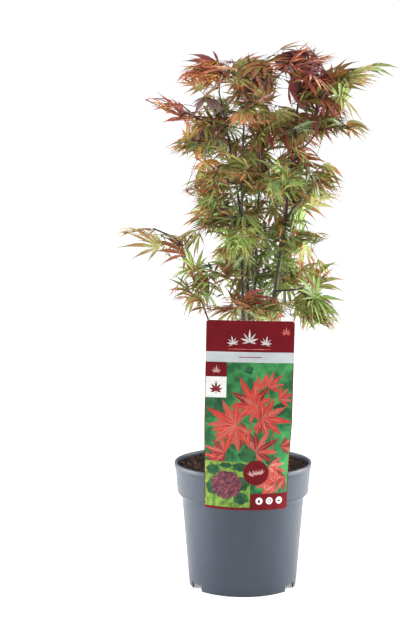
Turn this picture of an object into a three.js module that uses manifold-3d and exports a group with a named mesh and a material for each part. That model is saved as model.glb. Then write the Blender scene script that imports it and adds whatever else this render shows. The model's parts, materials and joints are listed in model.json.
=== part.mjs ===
// A young Japanese maple with several upright stems, in the grey plastic pot that it is sold in, with a stiff printed
// label hooked over the rim. Millimetres, +Z up, origin at the middle of the pot's flat underside; the label is at -Y.
// The leaves are closed, uneven masses round the shoots that carry them, cut clear of the stems that run up through them.
import * as THREE from "three";
import { mergeVertices } from "three/addons/utils/BufferGeometryUtils.js";
import Module from "manifold-3d";

const wasm = await Module();
wasm.setup();

// ---------- Driving dimensions ----------
const GAP = 0.35; // between two solids that meet
const TURN = Math.PI * 2;

const POT = {
  height: 173,
  rimRadius: 95, // outside of the rolled lip
  lipHeight: 7,
  lipProud: 1.6, // how far the lip stands out from the collar
  collarHeight: 42, // from the top down to the step
  collarTaper: 2.6, // how much narrower the collar is at its foot
  stepDrop: 6, // height of the sloping step under the collar
  bodyRadius: 84.5, // just under the step
  footRadius: 74,
  wall: 1.9,
  hubRadius: 40, // the middle of the base, which stands on the ground
  channelTop: 7, // underside of the raised ring between hub and wall
  channelSlope: 6,
  notches: 3,
  notchAngle: THREE.MathUtils.degToRad(18),
  notchHeight: 8.5,
  sides: 32,
};

const SOIL = {
  bottom: POT.channelTop + POT.wall + GAP,
  atWall: 160,
  crown: 168, // height of the heaped middle
  crownRadius: 55,
  seat: 167, // flat seat of the trunk
  seatRadius: 17,
};

const LABEL = {
  width: 117,
  height: 256,
  bottom: 126,
  thickness: 0.9,
  lean: THREE.MathUtils.degToRad(1.2), // clockwise, seen from the front
  offset: 2.2, // to the right of the pot's middle
  bendRadius: POT.rimRadius + 1.1, // at its foot, where it follows the collar
  flatFrom: 250, // above this height it stands nearly flat
  topBend: 0.12, // share of the curve that is left at the top
  across: 8,
  up: 6,
  tongueWidth: 44,
  tongueDepth: 11, // how far the tongue reaches down inside the rim
  tongueRoom: 7.4, // from the card's back to the tongue, round the rolled lip
  bridge: 5,
};

// ---------- Solids ----------
const COLOURS = {
  pot: { color: 0x6f7a87, roughness: 0.42, metalness: 0 },
  soil: { color: 0x2b1d14, roughness: 1, metalness: 0 },
  label: { color: 0x8c1f2e, roughness: 0.3, metalness: 0 },
  bark: { color: 0x3a2a26, roughness: 0.75, metalness: 0 },
  green_bark: { color: 0x5c6650, roughness: 0.65, metalness: 0 },
  red_leaves: { color: 0x8e4a34, roughness: 0.6, metalness: 0 },
  rust_leaves: { color: 0x7b5a35, roughness: 0.6, metalness: 0 },
  green_leaves: { color: 0x6d7a3f, roughness: 0.6, metalness: 0 },
  lime_leaves: { color: 0x93a05a, roughness: 0.6, metalness: 0 },
};

// A three.js geometry as a manifold solid: positions only, shared vertices merged, collapsed triangles dropped.
function toSolid(geometry) {
  const bare = new THREE.BufferGeometry();
  bare.setAttribute("position", geometry.getAttribute("position"));
  bare.setIndex(geometry.index);
  const merged = mergeVertices(bare, 1e-3);
  const index = merged.index.array;
  const kept = [];
  for (let i = 0; i < index.length; i += 3) {
    const [a, b, c] = [index[i], index[i + 1], index[i + 2]];
    if (a !== b && b !== c && c !== a) kept.push(a, b, c);
  }
  const mesh = new wasm.Mesh({
    numProp: 3,
    vertProperties: merged.getAttribute("position").array,
    triVerts: new Uint32Array(kept),
  });
  return new wasm.Manifold(mesh);
}

function toGeometry(solid) {
  const mesh = solid.getMesh();
  const geometry = new THREE.BufferGeometry();
  const positions = new Float32Array(mesh.vertProperties);
  geometry.setAttribute("position", new THREE.BufferAttribute(positions, 3));
  geometry.setIndex(new THREE.BufferAttribute(mesh.triVerts, 1));
  geometry.computeVertexNormals();
  return geometry;
}

// The largest body of a solid, so that a cut leaves no crumbs.
function mainBody(solid) {
  const bodies = solid.decompose();
  return bodies.reduce((best, body) => (body.volume() > best.volume() ? body : best));
}

function node(name, solid, colour) {
  const mesh = new THREE.Mesh(toGeometry(solid), new THREE.MeshStandardMaterial(COLOURS[colour]));
  mesh.name = name;
  return mesh;
}

// A lathe about +Z, from a profile of [radius, height] that starts and ends on the axis, going up the outside.
function lathe(profile, sides) {
  const points = profile.map(([radius, height]) => new THREE.Vector2(radius, height));
  return new THREE.LatheGeometry(points, sides).rotateX(Math.PI / 2);
}

const compass = (azimuth, rise = 0) => {
  const [a, r] = [azimuth, rise].map(THREE.MathUtils.degToRad);
  return new THREE.Vector3(Math.cos(a) * Math.cos(r), Math.sin(a) * Math.cos(r), Math.sin(r));
};

// Repeatable random numbers from 0 to 1.
function seeded(seed) {
  let state = seed * 7919 + 17;
  return () => {
    state = (state * 1664525 + 1013904223) % 4294967296;
    return state / 4294967296;
  };
}

// ---------- Pot ----------
// Injection moulded: a rolled lip, a deep collar, a sloping step and a tapering body. The middle of its base stands on
// the ground, inside a raised ring, and the foot of its wall is cut away in three places for drainage.
const collarFoot = POT.height - POT.collarHeight;
const collarRadius = POT.rimRadius - POT.lipProud;
const stepFoot = collarFoot - POT.stepDrop;

function potSolid() {
  const { height, rimRadius, lipHeight, wall, hubRadius, channelTop, channelSlope } = POT;
  const channelOut = POT.footRadius - wall;
  const round = 1.4;
  const outside = [
    [0, 0],
    [hubRadius, 0],
    [hubRadius + channelSlope, channelTop],
    [channelOut, channelTop],
    [channelOut, 0],
    [POT.footRadius, 0],
    [POT.bodyRadius, stepFoot],
    [collarRadius - POT.collarTaper - round, collarFoot - round],
    [collarRadius - POT.collarTaper, collarFoot + round],
    [collarRadius, height - lipHeight - round],
    [rimRadius, height - lipHeight + round],
    [rimRadius, height - round],
    [rimRadius - round, height],
  ];
  const inside = [
    [rimRadius - 2 * wall + 0.4, height],
    [rimRadius - 2 * wall, height - round],
    [collarRadius - POT.collarTaper - wall, collarFoot + round],
    [POT.bodyRadius - wall, stepFoot],
    [POT.footRadius - wall + 0.8, channelTop + wall],
    [hubRadius + channelSlope - wall, channelTop + wall],
    [hubRadius - wall, wall],
    [0, wall],
  ];
  const shell = toSolid(lathe([...outside, ...inside], POT.sides));
  const notchDepth = 3 * wall;
  const notchWidth = 2 * POT.footRadius * Math.sin(POT.notchAngle / 2);
  let cut = shell;
  for (let i = 0; i < POT.notches; i += 1) {
    const azimuth = 90 + (i * 360) / POT.notches;
    const notch = new THREE.BoxGeometry(notchDepth, notchWidth, POT.notchHeight * 2);
    notch.translate(POT.footRadius, 0, 0).rotateZ(THREE.MathUtils.degToRad(azimuth));
    cut = cut.subtract(toSolid(notch));
  }
  return mainBody(cut);
}

// ---------- Soil ----------
// The root ball and the peat round it fill the pot, heaped a little in the middle.
function soilSolid() {
  const clear = POT.wall + GAP;
  return toSolid(
    lathe(
      [
        [0, SOIL.bottom],
        [POT.footRadius - clear, SOIL.bottom],
        [POT.bodyRadius - clear - 0.4, stepFoot - 1],
        [collarRadius - POT.collarTaper - clear - 0.3, collarFoot + 3],
        [POT.rimRadius - 2 * POT.wall - GAP - 1.2, SOIL.atWall],
        [SOIL.crownRadius, SOIL.crown],
        [SOIL.seatRadius + 8, SOIL.crown],
        [SOIL.seatRadius, SOIL.seat],
        [0, SOIL.seat],
      ],
      POT.sides,
    ),
  );
}

// ---------- Label ----------
// One sheet of stiff plastic: bent round the collar at its foot and nearly flat at its top, with a tongue behind it that
// hooks over the rim and down inside the pot.
function bendRoundRim(geometry) {
  const place = geometry.getAttribute("position");
  for (let i = 0; i < place.count; i += 1) {
    const [x, y, z] = [place.getX(i), place.getY(i), place.getZ(i)];
    const share = THREE.MathUtils.clamp((z - LABEL.bottom) / (LABEL.flatFrom - LABEL.bottom), 0, 1);
    const curve = THREE.MathUtils.lerp(1, LABEL.topBend, share * share);
    const radius = LABEL.bendRadius / curve;
    const angle = x / radius;
    const front = -LABEL.bendRadius + radius;
    place.setXYZ(i, Math.sin(angle) * (radius - y), front - Math.cos(angle) * (radius - y), z);
  }
  return geometry;
}

function labelSolid() {
  const { width, height, bottom, thickness, across, up, bridge, tongueRoom } = LABEL;
  const card = new THREE.BoxGeometry(width, thickness, height, across, 1, up);
  card.translate(0, -thickness / 2, bottom + height / 2);
  const tongueFoot = POT.height - LABEL.tongueDepth;
  const dip = (Math.sin(LABEL.lean) * LABEL.tongueWidth) / 2;
  const tongueTop = POT.height + GAP + dip + bridge;
  const tongue = new THREE.BoxGeometry(LABEL.tongueWidth, thickness, tongueTop - tongueFoot, 3, 1, 1);
  tongue.translate(0, tongueRoom + thickness / 2, (tongueTop + tongueFoot) / 2);
  const hook = new THREE.BoxGeometry(LABEL.tongueWidth, tongueRoom + thickness, bridge, 3, 1, 1);
  hook.translate(0, (tongueRoom + thickness) / 2, tongueTop - bridge / 2);
  const place = (geometry) => {
    geometry.translate(0, 0, -bottom).rotateY(LABEL.lean).translate(LABEL.offset, 0, bottom);
    return toSolid(bendRoundRim(geometry));
  };
  return place(card).add(place(hook)).add(place(tongue));
}

// ---------- Stems ----------
// Each limb sets off from its parent towards an azimuth (0 is +X, 90 is +Y, behind) at a rise, in degrees, and reaches
// its tip from the way given by ends. The reaches say how long it holds each way. Four leaders fan out from the top of
// the trunk beside a low bough, and the other boughs leave the leaders.
const LIMB = { sides: 5, stepLength: 40 };
const GROUND = SOIL.seat + GAP; // the flat cut under the trunk
const TRUNK_FOOT = new THREE.Vector3(3, 3, GROUND - 4);

const LIMBS = [
  { name: "trunk", sets: [180, 84, 28], ends: [0, 86, 28], tip: [5, 3, 236], radii: [8.6, 8.2], flare: 5.5, steps: 8 },
  { name: "leader_right", on: "trunk", at: 0.93, side: 0, sets: [0, 77, 150], ends: [0, 85, 180], tip: [77, 8, 706],
    radii: [4.3, 1.1], bark: "green_bark" },
  { name: "leader_left", on: "trunk", at: 0.93, side: 250, sets: [190, 89, 150], ends: [0, 86, 150],
    tip: [3, -6, 694], radii: [3.2, 1] },
  { name: "leader_centre", on: "trunk", at: 0.93, side: 120, sets: [12, 83, 170], ends: [170, 78, 130],
    tip: [-34, 12, 682], radii: [3, 1] },
  { name: "leader_back", on: "trunk", at: 0.93, side: 60, sets: [80, 78, 150], ends: [90, 76, 150], tip: [24, 74, 664],
    radii: [3, 1], bark: "green_bark" },
  { name: "bough_low_left", on: "trunk", at: 0.93, side: 190, sets: [240, 86, 112], ends: [182, -2, 62],
    tip: [-122, -30, 498], radii: [2.9, 1.1] },
  { name: "bough_low_right", on: "leader_right", at: 0.12, sets: [-17, 38, 52], ends: [0, 89, 60],
    tip: [80, -24, 436], radii: [2, 1.1] },
  { name: "bough_upper_left", on: "leader_left", at: 0.73, sets: [180, 56, 34], ends: [180, 30, 30],
    tip: [-88, -2, 666], radii: [1.3, 0.8] },
  { name: "bough_upper_right", on: "leader_right", at: 0.75, sets: [0, 38, 40], ends: [0, 58, 34],
    tip: [138, 8, 695], radii: [1.4, 0.8] },
  { name: "bough_left", on: "leader_left", at: 0.42, sets: [182, 58, 34], ends: [182, 42, 24], tip: [-46, -8, 552],
    radii: [1.4, 0.8] },
  { name: "bough_right", on: "leader_right", at: 0.59, sets: [-8, 48, 14], ends: [-8, 40, 12], tip: [100, -4, 558],
    radii: [1.3, 0.8] },
  { name: "bough_back_left", on: "leader_centre", at: 0.36, sets: [120, 66, 70], ends: [130, 40, 50],
    tip: [-52, 76, 604], radii: [1.6, 0.8] },
  { name: "bough_back_right", on: "leader_back", at: 0.3, sets: [20, 60, 50], ends: [42, 30, 40], tip: [78, 80, 524],
    radii: [1.6, 0.8] },
  { name: "bough_back_low", on: "leader_back", at: 0.22, sets: [130, 58, 40], ends: [112, 30, 30],
    tip: [-14, 80, 438], radii: [1.5, 0.8] },
  { name: "bough_front", on: "leader_left", at: 0.38, sets: [255, 60, 60], ends: [250, 30, 50],
    tip: [-24, -72, 568], radii: [1.6, 0.8] },
  { name: "bough_front_right", on: "leader_right", at: 0.44, sets: [262, 60, 50], ends: [278, 30, 40],
    tip: [50, -72, 544], radii: [1.6, 0.8] },
];

const limbs = new Map();

// A closed cylinder bent along the limb's curve and tapered, with an optional root flare at its foot.
function limbGeometry({ curve, radii, flare = 0, steps }, grow = 0) {
  const geometry = new THREE.CylinderGeometry(1, 1, 1, LIMB.sides, steps, false);
  const frames = curve.computeFrenetFrames(steps);
  const place = geometry.getAttribute("position");
  const point = new THREE.Vector3();
  for (let i = 0; i < place.count; i += 1) {
    const step = Math.round((place.getY(i) + 0.5) * steps);
    const share = step / steps;
    const taper = THREE.MathUtils.lerp(radii[0], radii[1], share ** 0.85);
    const radius = taper + flare * Math.exp(-share * 6) + grow;
    curve.getPointAt(share, point);
    point.addScaledVector(frames.normals[step], place.getZ(i) * radius);
    point.addScaledVector(frames.binormals[step], place.getX(i) * radius);
    if (share === 1) point.addScaledVector(frames.tangents[step], grow);
    place.setXYZ(i, point.x, point.y, point.z);
  }
  return geometry;
}

function growLimb(spec) {
  const parent = limbs.get(spec.on);
  const foot = parent ? parent.curve.getPointAt(spec.at) : TRUNK_FOOT.clone();
  if (spec.side !== undefined) {
    const spread = parent.radii[1] - spec.radii[0] + 1.4;
    foot.addScaledVector(compass(spec.side), spread);
  }
  const tip = new THREE.Vector3(...spec.tip);
  const [setting, ending] = [spec.sets, spec.ends].map(([azimuth, rise, reach]) =>
    compass(azimuth, rise).multiplyScalar(reach),
  );
  const curve = new THREE.CubicBezierCurve3(foot, foot.clone().add(setting), tip.clone().sub(ending), tip);
  const steps = spec.steps ?? Math.max(4, Math.round(curve.getLength() / LIMB.stepLength));
  const limb = { bark: "bark", ...spec, curve, steps };
  limb.solid = toSolid(limbGeometry(limb));
  limb.grown = toSolid(limbGeometry(limb, GAP));
  for (const earlier of limbs.values()) limb.solid = limb.solid.subtract(earlier.grown);
  limb.solid = mainBody(limb.solid.trimByPlane([0, 0, 1], GROUND));
  limbs.set(spec.name, limb);
}

// ---------- Foliage ----------
// Each mass lies along its shoot: half its length, breadth and depth, with the long way towards an azimuth at a rise.
// Its fingers are the leaf tips that stand out of it.
const MASS = {
  round: 9,
  along: 7,
  body: 0.82,
  swell: 0.09,
  fingers: 8,
  fingerWidth: 0.42,
  fingerReach: 0.24,
  smoothing: 0.15, // less than half the gap
};

const MASSES = [
  { name: "foliage_top_left", centre: [-46, -4, 708], half: [37, 38, 35], way: [165, 8], leaf: "red_leaves" },
  { name: "foliage_top_centre", centre: [16, 6, 706], half: [42, 40, 32], way: [80, 0], leaf: "red_leaves" },
  { name: "foliage_crest", centre: [80, 0, 724], half: [46, 34, 26], way: [5, 10], leaf: "red_leaves" },
  { name: "foliage_top_right", centre: [98, 6, 680], half: [44, 38, 26], way: [15, 0], leaf: "rust_leaves" },
  { name: "foliage_arm_right", centre: [166, 8, 706], half: [39, 24, 18], way: [0, 5], leaf: "lime_leaves" },
  { name: "foliage_shoulder_right", centre: [132, -2, 636], half: [40, 34, 28], way: [-4, -18], leaf: "lime_leaves" },
  { name: "foliage_arm_left", centre: [-114, -2, 666], half: [34, 24, 16], way: [178, 12], leaf: "red_leaves" },
  { name: "foliage_purple_left", centre: [-66, -14, 643], half: [38, 26, 15], way: [190, 4], leaf: "rust_leaves" },
  { name: "foliage_upper_left", centre: [-68, -4, 604], half: [42, 32, 20], way: [180, -4], leaf: "rust_leaves" },
  { name: "foliage_shoulder_left", centre: [-36, 36, 656], half: [36, 28, 22], way: [160, 8], leaf: "rust_leaves" },
  { name: "foliage_core_upper", centre: [22, -4, 640], half: [38, 44, 30], way: [90, 0], leaf: "rust_leaves" },
  { name: "foliage_left", centre: [-50, -4, 552], half: [39, 36, 27], way: [182, -12], leaf: "rust_leaves" },
  { name: "foliage_core", centre: [20, -6, 566], half: [36, 42, 36], way: [90, 0], leaf: "green_leaves" },
  { name: "foliage_rust_right", centre: [76, 6, 592], half: [32, 30, 24], way: [10, 0], leaf: "rust_leaves" },
  { name: "foliage_right", centre: [114, -2, 548], half: [35, 32, 30], way: [-5, -25], leaf: "lime_leaves" },
  { name: "foliage_waist_left", centre: [-44, 2, 500], half: [42, 36, 20], way: [182, -8], leaf: "rust_leaves" },
  { name: "foliage_waist_right", centre: [86, 0, 486], half: [34, 32, 26], way: [0, -20], leaf: "green_leaves" },
  { name: "foliage_waist", centre: [12, -6, 496], half: [30, 36, 26], way: [100, 0], leaf: "green_leaves" },
  { name: "foliage_low_left_tip", centre: [-142, -30, 492], half: [36, 28, 20], way: [182, 2], leaf: "lime_leaves" },
  { name: "foliage_low_left_arm", centre: [-86, -30, 470], half: [28, 24, 18], way: [205, -20], leaf: "green_leaves" },
  { name: "foliage_low_left", centre: [-66, -28, 424], half: [42, 32, 26], way: [192, -14], leaf: "green_leaves" },
  { name: "foliage_low_core", centre: [0, -2, 440], half: [34, 34, 20], way: [170, 0], leaf: "green_leaves" },
  { name: "foliage_low_right", centre: [106, -24, 434], half: [42, 28, 22], way: [-8, 2], leaf: "lime_leaves" },
  { name: "foliage_foot_right", centre: [98, -20, 377], half: [42, 32, 30], way: [-10, -28], leaf: "lime_leaves" },
  { name: "foliage_foot_left", centre: [-44, -30, 388], half: [32, 26, 18], way: [192, -22], leaf: "green_leaves" },
  { name: "foliage_foot", centre: [26, -28, 384], half: [42, 32, 22], way: [-10, 0], leaf: "green_leaves" },
  { name: "foliage_back_top", centre: [12, 82, 690], half: [48, 40, 32], way: [150, 8], leaf: "red_leaves" },
  { name: "foliage_back_shoulder", centre: [84, 78, 630], half: [44, 40, 34], way: [40, 5], leaf: "rust_leaves" },
  { name: "foliage_back_left", centre: [-54, 84, 610], half: [46, 38, 34], way: [130, 8], leaf: "rust_leaves" },
  { name: "foliage_back", centre: [16, 96, 572], half: [42, 38, 34], way: [85, 0], leaf: "rust_leaves" },
  { name: "foliage_back_right", centre: [84, 84, 528], half: [42, 38, 32], way: [50, -4], leaf: "green_leaves" },
  { name: "foliage_back_waist", centre: [-40, 84, 514], half: [42, 38, 32], way: [125, -5], leaf: "green_leaves" },
  { name: "foliage_back_low", centre: [-12, 86, 440], half: [42, 36, 30], way: [110, -8], leaf: "green_leaves" },
  { name: "foliage_back_foot", centre: [70, 64, 424], half: [40, 34, 28], way: [45, -8], leaf: "green_leaves" },
  { name: "foliage_front_top", centre: [8, -82, 656], half: [46, 38, 32], way: [265, 4], leaf: "rust_leaves" },
  { name: "foliage_front_left", centre: [-32, -86, 574], half: [44, 38, 32], way: [250, -8], leaf: "rust_leaves" },
  { name: "foliage_front_right", centre: [54, -86, 560], half: [42, 38, 36], way: [285, -8], leaf: "green_leaves" },
  { name: "foliage_front_low", centre: [-20, -82, 478], half: [42, 34, 28], way: [255, -12], leaf: "green_leaves" },
];

function massGeometry({ centre, half, way, seed }, grow = 0) {
  const random = seeded(seed);
  const fingers = Array.from({ length: MASS.fingers }, () => {
    const azimuth = random() * 360;
    const rise = random() * 110 - 65; // more of them hang than stand
    return { towards: compass(azimuth, rise), reach: MASS.fingerReach * (0.6 + 0.4 * random()) };
  });
  fingers[0] = { towards: compass(0, -4), reach: MASS.fingerReach }; // the shoot's own end
  const phases = [random(), random(), random()].map((share) => share * TURN);
  const geometry = new THREE.SphereGeometry(1, MASS.round, MASS.along).rotateZ(-Math.PI / 2);
  const place = geometry.getAttribute("position");
  const heading = new THREE.Vector3();
  for (let i = 0; i < place.count; i += 1) {
    heading.fromBufferAttribute(place, i).normalize();
    const swell =
      Math.sin(4.1 * heading.x + phases[0]) +
      Math.sin(4.7 * heading.y + phases[1]) +
      Math.sin(3.7 * heading.z + phases[2]);
    let radius = MASS.body + (MASS.swell * swell) / 3;
    for (const { towards, reach } of fingers) {
      radius += reach * Math.exp(-((heading.angleTo(towards) / MASS.fingerWidth) ** 2));
    }
    const [x, y, z] = [heading.x, heading.y, heading.z].map((share, k) => share * (half[k] * radius + grow));
    place.setXYZ(i, x, y, z);
  }
  const [azimuth, rise] = way.map(THREE.MathUtils.degToRad);
  return geometry.rotateY(-rise).rotateZ(azimuth).translate(...centre);
}

function massSolid(spec, earlier) {
  let solid = toSolid(massGeometry(spec));
  for (const limb of limbs.values()) solid = solid.subtract(limb.grown);
  for (const neighbour of earlier) solid = solid.subtract(neighbour);
  return mainBody(solid).simplify(MASS.smoothing);
}

// ---------- Assembly ----------
const maple = new THREE.Group();
maple.name = "potted_japanese_maple";

const container = new THREE.Group();
container.add(node("pot", potSolid(), "pot"));
container.add(node("soil", soilSolid(), "soil"));
container.add(node("label", labelSolid(), "label"));
maple.add(container);

const stems = new THREE.Group();
for (const spec of LIMBS) growLimb(spec);
for (const limb of limbs.values()) stems.add(node(limb.name, limb.solid, limb.bark));
maple.add(stems);

const crown = new THREE.Group();
const grownMasses = [];
MASSES.forEach((spec, i) => {
  const mass = { ...spec, seed: i + 1 };
  crown.add(node(mass.name, massSolid(mass, grownMasses), mass.leaf));
  grownMasses.push(toSolid(massGeometry(mass, GAP)));
});
maple.add(crown);

export default maple;
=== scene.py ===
# A young Japanese maple with several upright stems, growing in a grey plastic nursery pot that is filled with
# peat. A stiff printed picture label is hooked over the pot's rim. Metres, +Z up, the pot stands on z = 0 and
# the label is at -Y.
import json
import math
import random

import bmesh
import bpy
import numpy as np
from mathutils import Matrix, Vector, noise
from mathutils.bvhtree import BVHTree


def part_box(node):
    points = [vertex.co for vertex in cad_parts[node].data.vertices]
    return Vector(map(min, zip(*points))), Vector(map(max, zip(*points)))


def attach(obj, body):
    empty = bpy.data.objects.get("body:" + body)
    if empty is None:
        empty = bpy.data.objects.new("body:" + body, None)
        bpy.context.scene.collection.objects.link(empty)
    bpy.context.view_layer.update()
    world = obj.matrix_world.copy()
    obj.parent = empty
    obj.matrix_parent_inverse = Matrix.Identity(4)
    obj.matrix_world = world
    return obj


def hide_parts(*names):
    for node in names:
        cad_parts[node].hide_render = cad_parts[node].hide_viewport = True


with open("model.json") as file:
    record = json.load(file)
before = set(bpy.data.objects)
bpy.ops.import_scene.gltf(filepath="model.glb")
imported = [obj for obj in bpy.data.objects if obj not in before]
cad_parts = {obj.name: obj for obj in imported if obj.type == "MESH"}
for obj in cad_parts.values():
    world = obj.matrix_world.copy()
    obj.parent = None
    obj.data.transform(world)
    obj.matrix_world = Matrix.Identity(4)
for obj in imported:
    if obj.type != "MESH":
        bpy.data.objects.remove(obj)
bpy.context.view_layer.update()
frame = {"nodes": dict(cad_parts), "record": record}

# ------------------------------------------------------------------------------------------------------- pot
# The pot is injection moulded in grey-blue polypropylene with a satin surface: a rolled lip, a deep collar,
# a sloping step and a tapering body. The middle of its base stands on the ground inside a raised ring of
# drainage holes, and the foot of its wall is cut away in three places. It carries everything else.
pot_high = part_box("pot")[1]
POT_HEIGHT = pot_high.z
RIM_RADIUS = pot_high.x
WALL = 0.0019
LIP_HEIGHT = 0.0068
LIP_PROUD = 0.0016
COLLAR_HEIGHT = 0.042
COLLAR_TAPER = 0.0026
STEP_DROP = 0.006
BODY_RADIUS = RIM_RADIUS - 0.0105
FOOT_RADIUS = RIM_RADIUS - 0.021
HUB_RADIUS = 0.040
CHANNEL_TOP = 0.007
NOTCHES = 3
NOTCH_HALF = math.radians(9.2)
NOTCH_HEIGHT = 0.0085
POT_TURNS = 240


def srgb(red, green, blue):
    """A colour given as it looks, 0 to 255, as the linear values that a shader takes."""
    shares = [value / 255 for value in (red, green, blue)]
    linear = [share / 12.92 if share <= 0.04045 else ((share + 0.055) / 1.055) ** 2.4 for share in shares]
    return (*linear, 1.0)


def new_material(name, colour, roughness, specular=0.5):
    material = bpy.data.materials.new(name)
    material.use_nodes = True
    shader = material.node_tree.nodes["Principled BSDF"]
    shader.inputs["Base Color"].default_value = colour
    shader.inputs["Roughness"].default_value = roughness
    shader.inputs["Specular IOR Level"].default_value = specular
    return material, shader


def add_node(material, kind, **settings):
    node = material.node_tree.nodes.new(kind)
    for name, value in settings.items():
        if name in node.inputs:
            node.inputs[name].default_value = value
        else:
            setattr(node, name, value)
    return node


def join(material, out, into):
    material.node_tree.links.new(out, into)


def object_place(material, scale=(1, 1, 1)):
    """Coordinates of the piece itself, in metres, stretched by scale."""
    place = add_node(material, "ShaderNodeTexCoord")
    mapping = add_node(material, "ShaderNodeMapping")
    mapping.inputs["Scale"].default_value = scale
    join(material, place.outputs["Object"], mapping.inputs["Vector"])
    return mapping.outputs["Vector"]


def grain(material, place, scale, detail=4.0, roughness=0.55):
    """Fractal noise from 0 to 1."""
    node = add_node(material, "ShaderNodeTexNoise", Scale=scale, Detail=detail, Roughness=roughness)
    join(material, place, node.inputs["Vector"])
    return node.outputs["Fac"]


def ramp(material, value, *stops):
    """A colour for each share of a value, as (share, colour) pairs."""
    node = add_node(material, "ShaderNodeValToRGB")
    marks = node.color_ramp.elements
    while len(marks) < len(stops):
        marks.new(0.5)
    for mark, (share, colour) in zip(marks, stops):
        mark.position = share
        mark.color = colour
    join(material, value, node.inputs["Fac"])
    return node.outputs["Color"]


def coloured(material, shader, value, *stops):
    """Gives the surface the colours of a ramp."""
    join(material, ramp(material, value, *stops), shader.inputs["Base Color"])


def relief(material, shader, height, depth, strength):
    """Raises the surface by a pattern, with depth in metres."""
    node = add_node(material, "ShaderNodeBump", Strength=strength, Distance=depth)
    join(material, height, node.inputs["Height"])
    join(material, node.outputs["Normal"], shader.inputs["Normal"])


def levels(material, value, low, high):
    """Spreads a value from 0 to 1 over low to high."""
    node = add_node(material, "ShaderNodeMapRange")
    node.inputs["To Min"].default_value = low
    node.inputs["To Max"].default_value = high
    join(material, value, node.inputs["Value"])
    return node.outputs["Result"]


def new_piece(name, points, faces, materials, face_materials=None, smooth=True):
    mesh = bpy.data.meshes.new(name)
    mesh.from_pydata([tuple(point) for point in points], [], [tuple(face) for face in faces])
    for material in materials:
        mesh.materials.append(material)
    if face_materials is not None:
        mesh.polygons.foreach_set("material_index", np.asarray(face_materials, dtype=np.int32))
    mesh.polygons.foreach_set("use_smooth", np.full(len(mesh.polygons), smooth))
    mesh.update()
    piece = bpy.data.objects.new(name, mesh)
    bpy.context.scene.collection.objects.link(piece)
    return piece


def rounded(profile, steps=5):
    """Rounds the corners of an open outline of (radius, height, corner radius)."""
    points = [np.array(profile[0][:2])]
    for before, corner, after in zip(profile, profile[1:], profile[2:]):
        here = np.array(corner[:2])
        back = np.array(before[:2]) - here
        ahead = np.array(after[:2]) - here
        reach = min(corner[2], 0.48 * np.linalg.norm(back), 0.48 * np.linalg.norm(ahead))
        if reach < 1e-5:
            points.append(here)
            continue
        start = here + back / np.linalg.norm(back) * reach
        end = here + ahead / np.linalg.norm(ahead) * reach
        for share in np.linspace(0, 1, steps):
            points.append((1 - share) ** 2 * start + 2 * share * (1 - share) * here + share**2 * end)
    points.append(np.array(profile[-1][:2]))
    return np.array(points)


def turned(outline, angles):
    """Points and faces of an outline of (radius, height) turned about +Z, closed on the axis at both ends."""
    rows = []
    for radius, height in outline[1:-1]:
        level = np.full(len(angles), height)
        rows.append(np.stack([radius * np.cos(angles), radius * np.sin(angles), level], 1))
    points = [np.array([[0, 0, outline[0][1]]]), *rows, np.array([[0, 0, outline[-1][1]]])]
    count = len(angles)
    faces = []
    for k in range(count):
        after = (k + 1) % count
        faces.append((0, 1 + after, 1 + k))
        for row in range(len(rows) - 1):
            here = 1 + row * count
            faces.append((here + k, here + after, here + count + after, here + count + k))
        last = 1 + (len(rows) - 1) * count
        faces.append((last + k, last + after, last + count))
    return np.concatenate(points), faces


collar_foot = POT_HEIGHT - COLLAR_HEIGHT
collar_radius = RIM_RADIUS - LIP_PROUD
step_foot = collar_foot - STEP_DROP
pot_outline = rounded(
    [
        (0, 0.0004, 0),
        (0.0055, 0.0004, 0),
        (0.0060, 0, 0.0003),
        (HUB_RADIUS, 0, 0.0012),
        (HUB_RADIUS + 0.006, CHANNEL_TOP, 0.0015),
        (FOOT_RADIUS - WALL - 0.0002, CHANNEL_TOP, 0.001),
        (FOOT_RADIUS - WALL, 0, 0.0005),
        (FOOT_RADIUS, 0, 0.0006),
        (FOOT_RADIUS + 0.0008, 0.0105, 0.0010),
        (FOOT_RADIUS + 0.0012, 0.0112, 0.0004),
        (BODY_RADIUS, step_foot, 0.004),
        (collar_radius - COLLAR_TAPER - 0.0008, collar_foot - 0.001, 0.003),
        (collar_radius - COLLAR_TAPER, collar_foot + 0.0016, 0.0014),
        (collar_radius, POT_HEIGHT - LIP_HEIGHT - 0.0014, 0.0018),
        (RIM_RADIUS, POT_HEIGHT - LIP_HEIGHT, 0.0010),
        (RIM_RADIUS, POT_HEIGHT, 0.0018),
        (RIM_RADIUS - 2 * WALL, POT_HEIGHT, 0.0018),
        (RIM_RADIUS - 2 * WALL, POT_HEIGHT - LIP_HEIGHT, 0.0015),
        (collar_radius - COLLAR_TAPER - WALL, collar_foot + 0.0016, 0.002),
        (BODY_RADIUS - WALL, step_foot, 0.003),
        (FOOT_RADIUS - WALL + 0.0008, CHANNEL_TOP + WALL, 0.002),
        (HUB_RADIUS + 0.006 - WALL, CHANNEL_TOP + WALL, 0.001),
        (HUB_RADIUS - WALL, WALL, 0.001),
        (0, WALL, 0),
    ]
)
notch_centres = [math.pi / 2 + k * math.tau / NOTCHES for k in range(NOTCHES)]
pot_angles = set(np.round(np.arange(POT_TURNS) * math.tau / POT_TURNS, 6))
for notch in notch_centres:
    for side in (-1, 1):
        edge = notch + side * NOTCH_HALF
        pot_angles = {angle for angle in pot_angles if abs(angle - edge % math.tau) > 0.012}
        pot_angles.add((edge - 0.004) % math.tau)
        pot_angles.add((edge + 0.004) % math.tau)
pot_angles = np.array(sorted(pot_angles))
pot_points, pot_faces = turned(pot_outline, pot_angles)
pot_radii = np.hypot(pot_points[:, 0], pot_points[:, 1])
pot_turns = np.arctan2(pot_points[:, 1], pot_points[:, 0])
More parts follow.
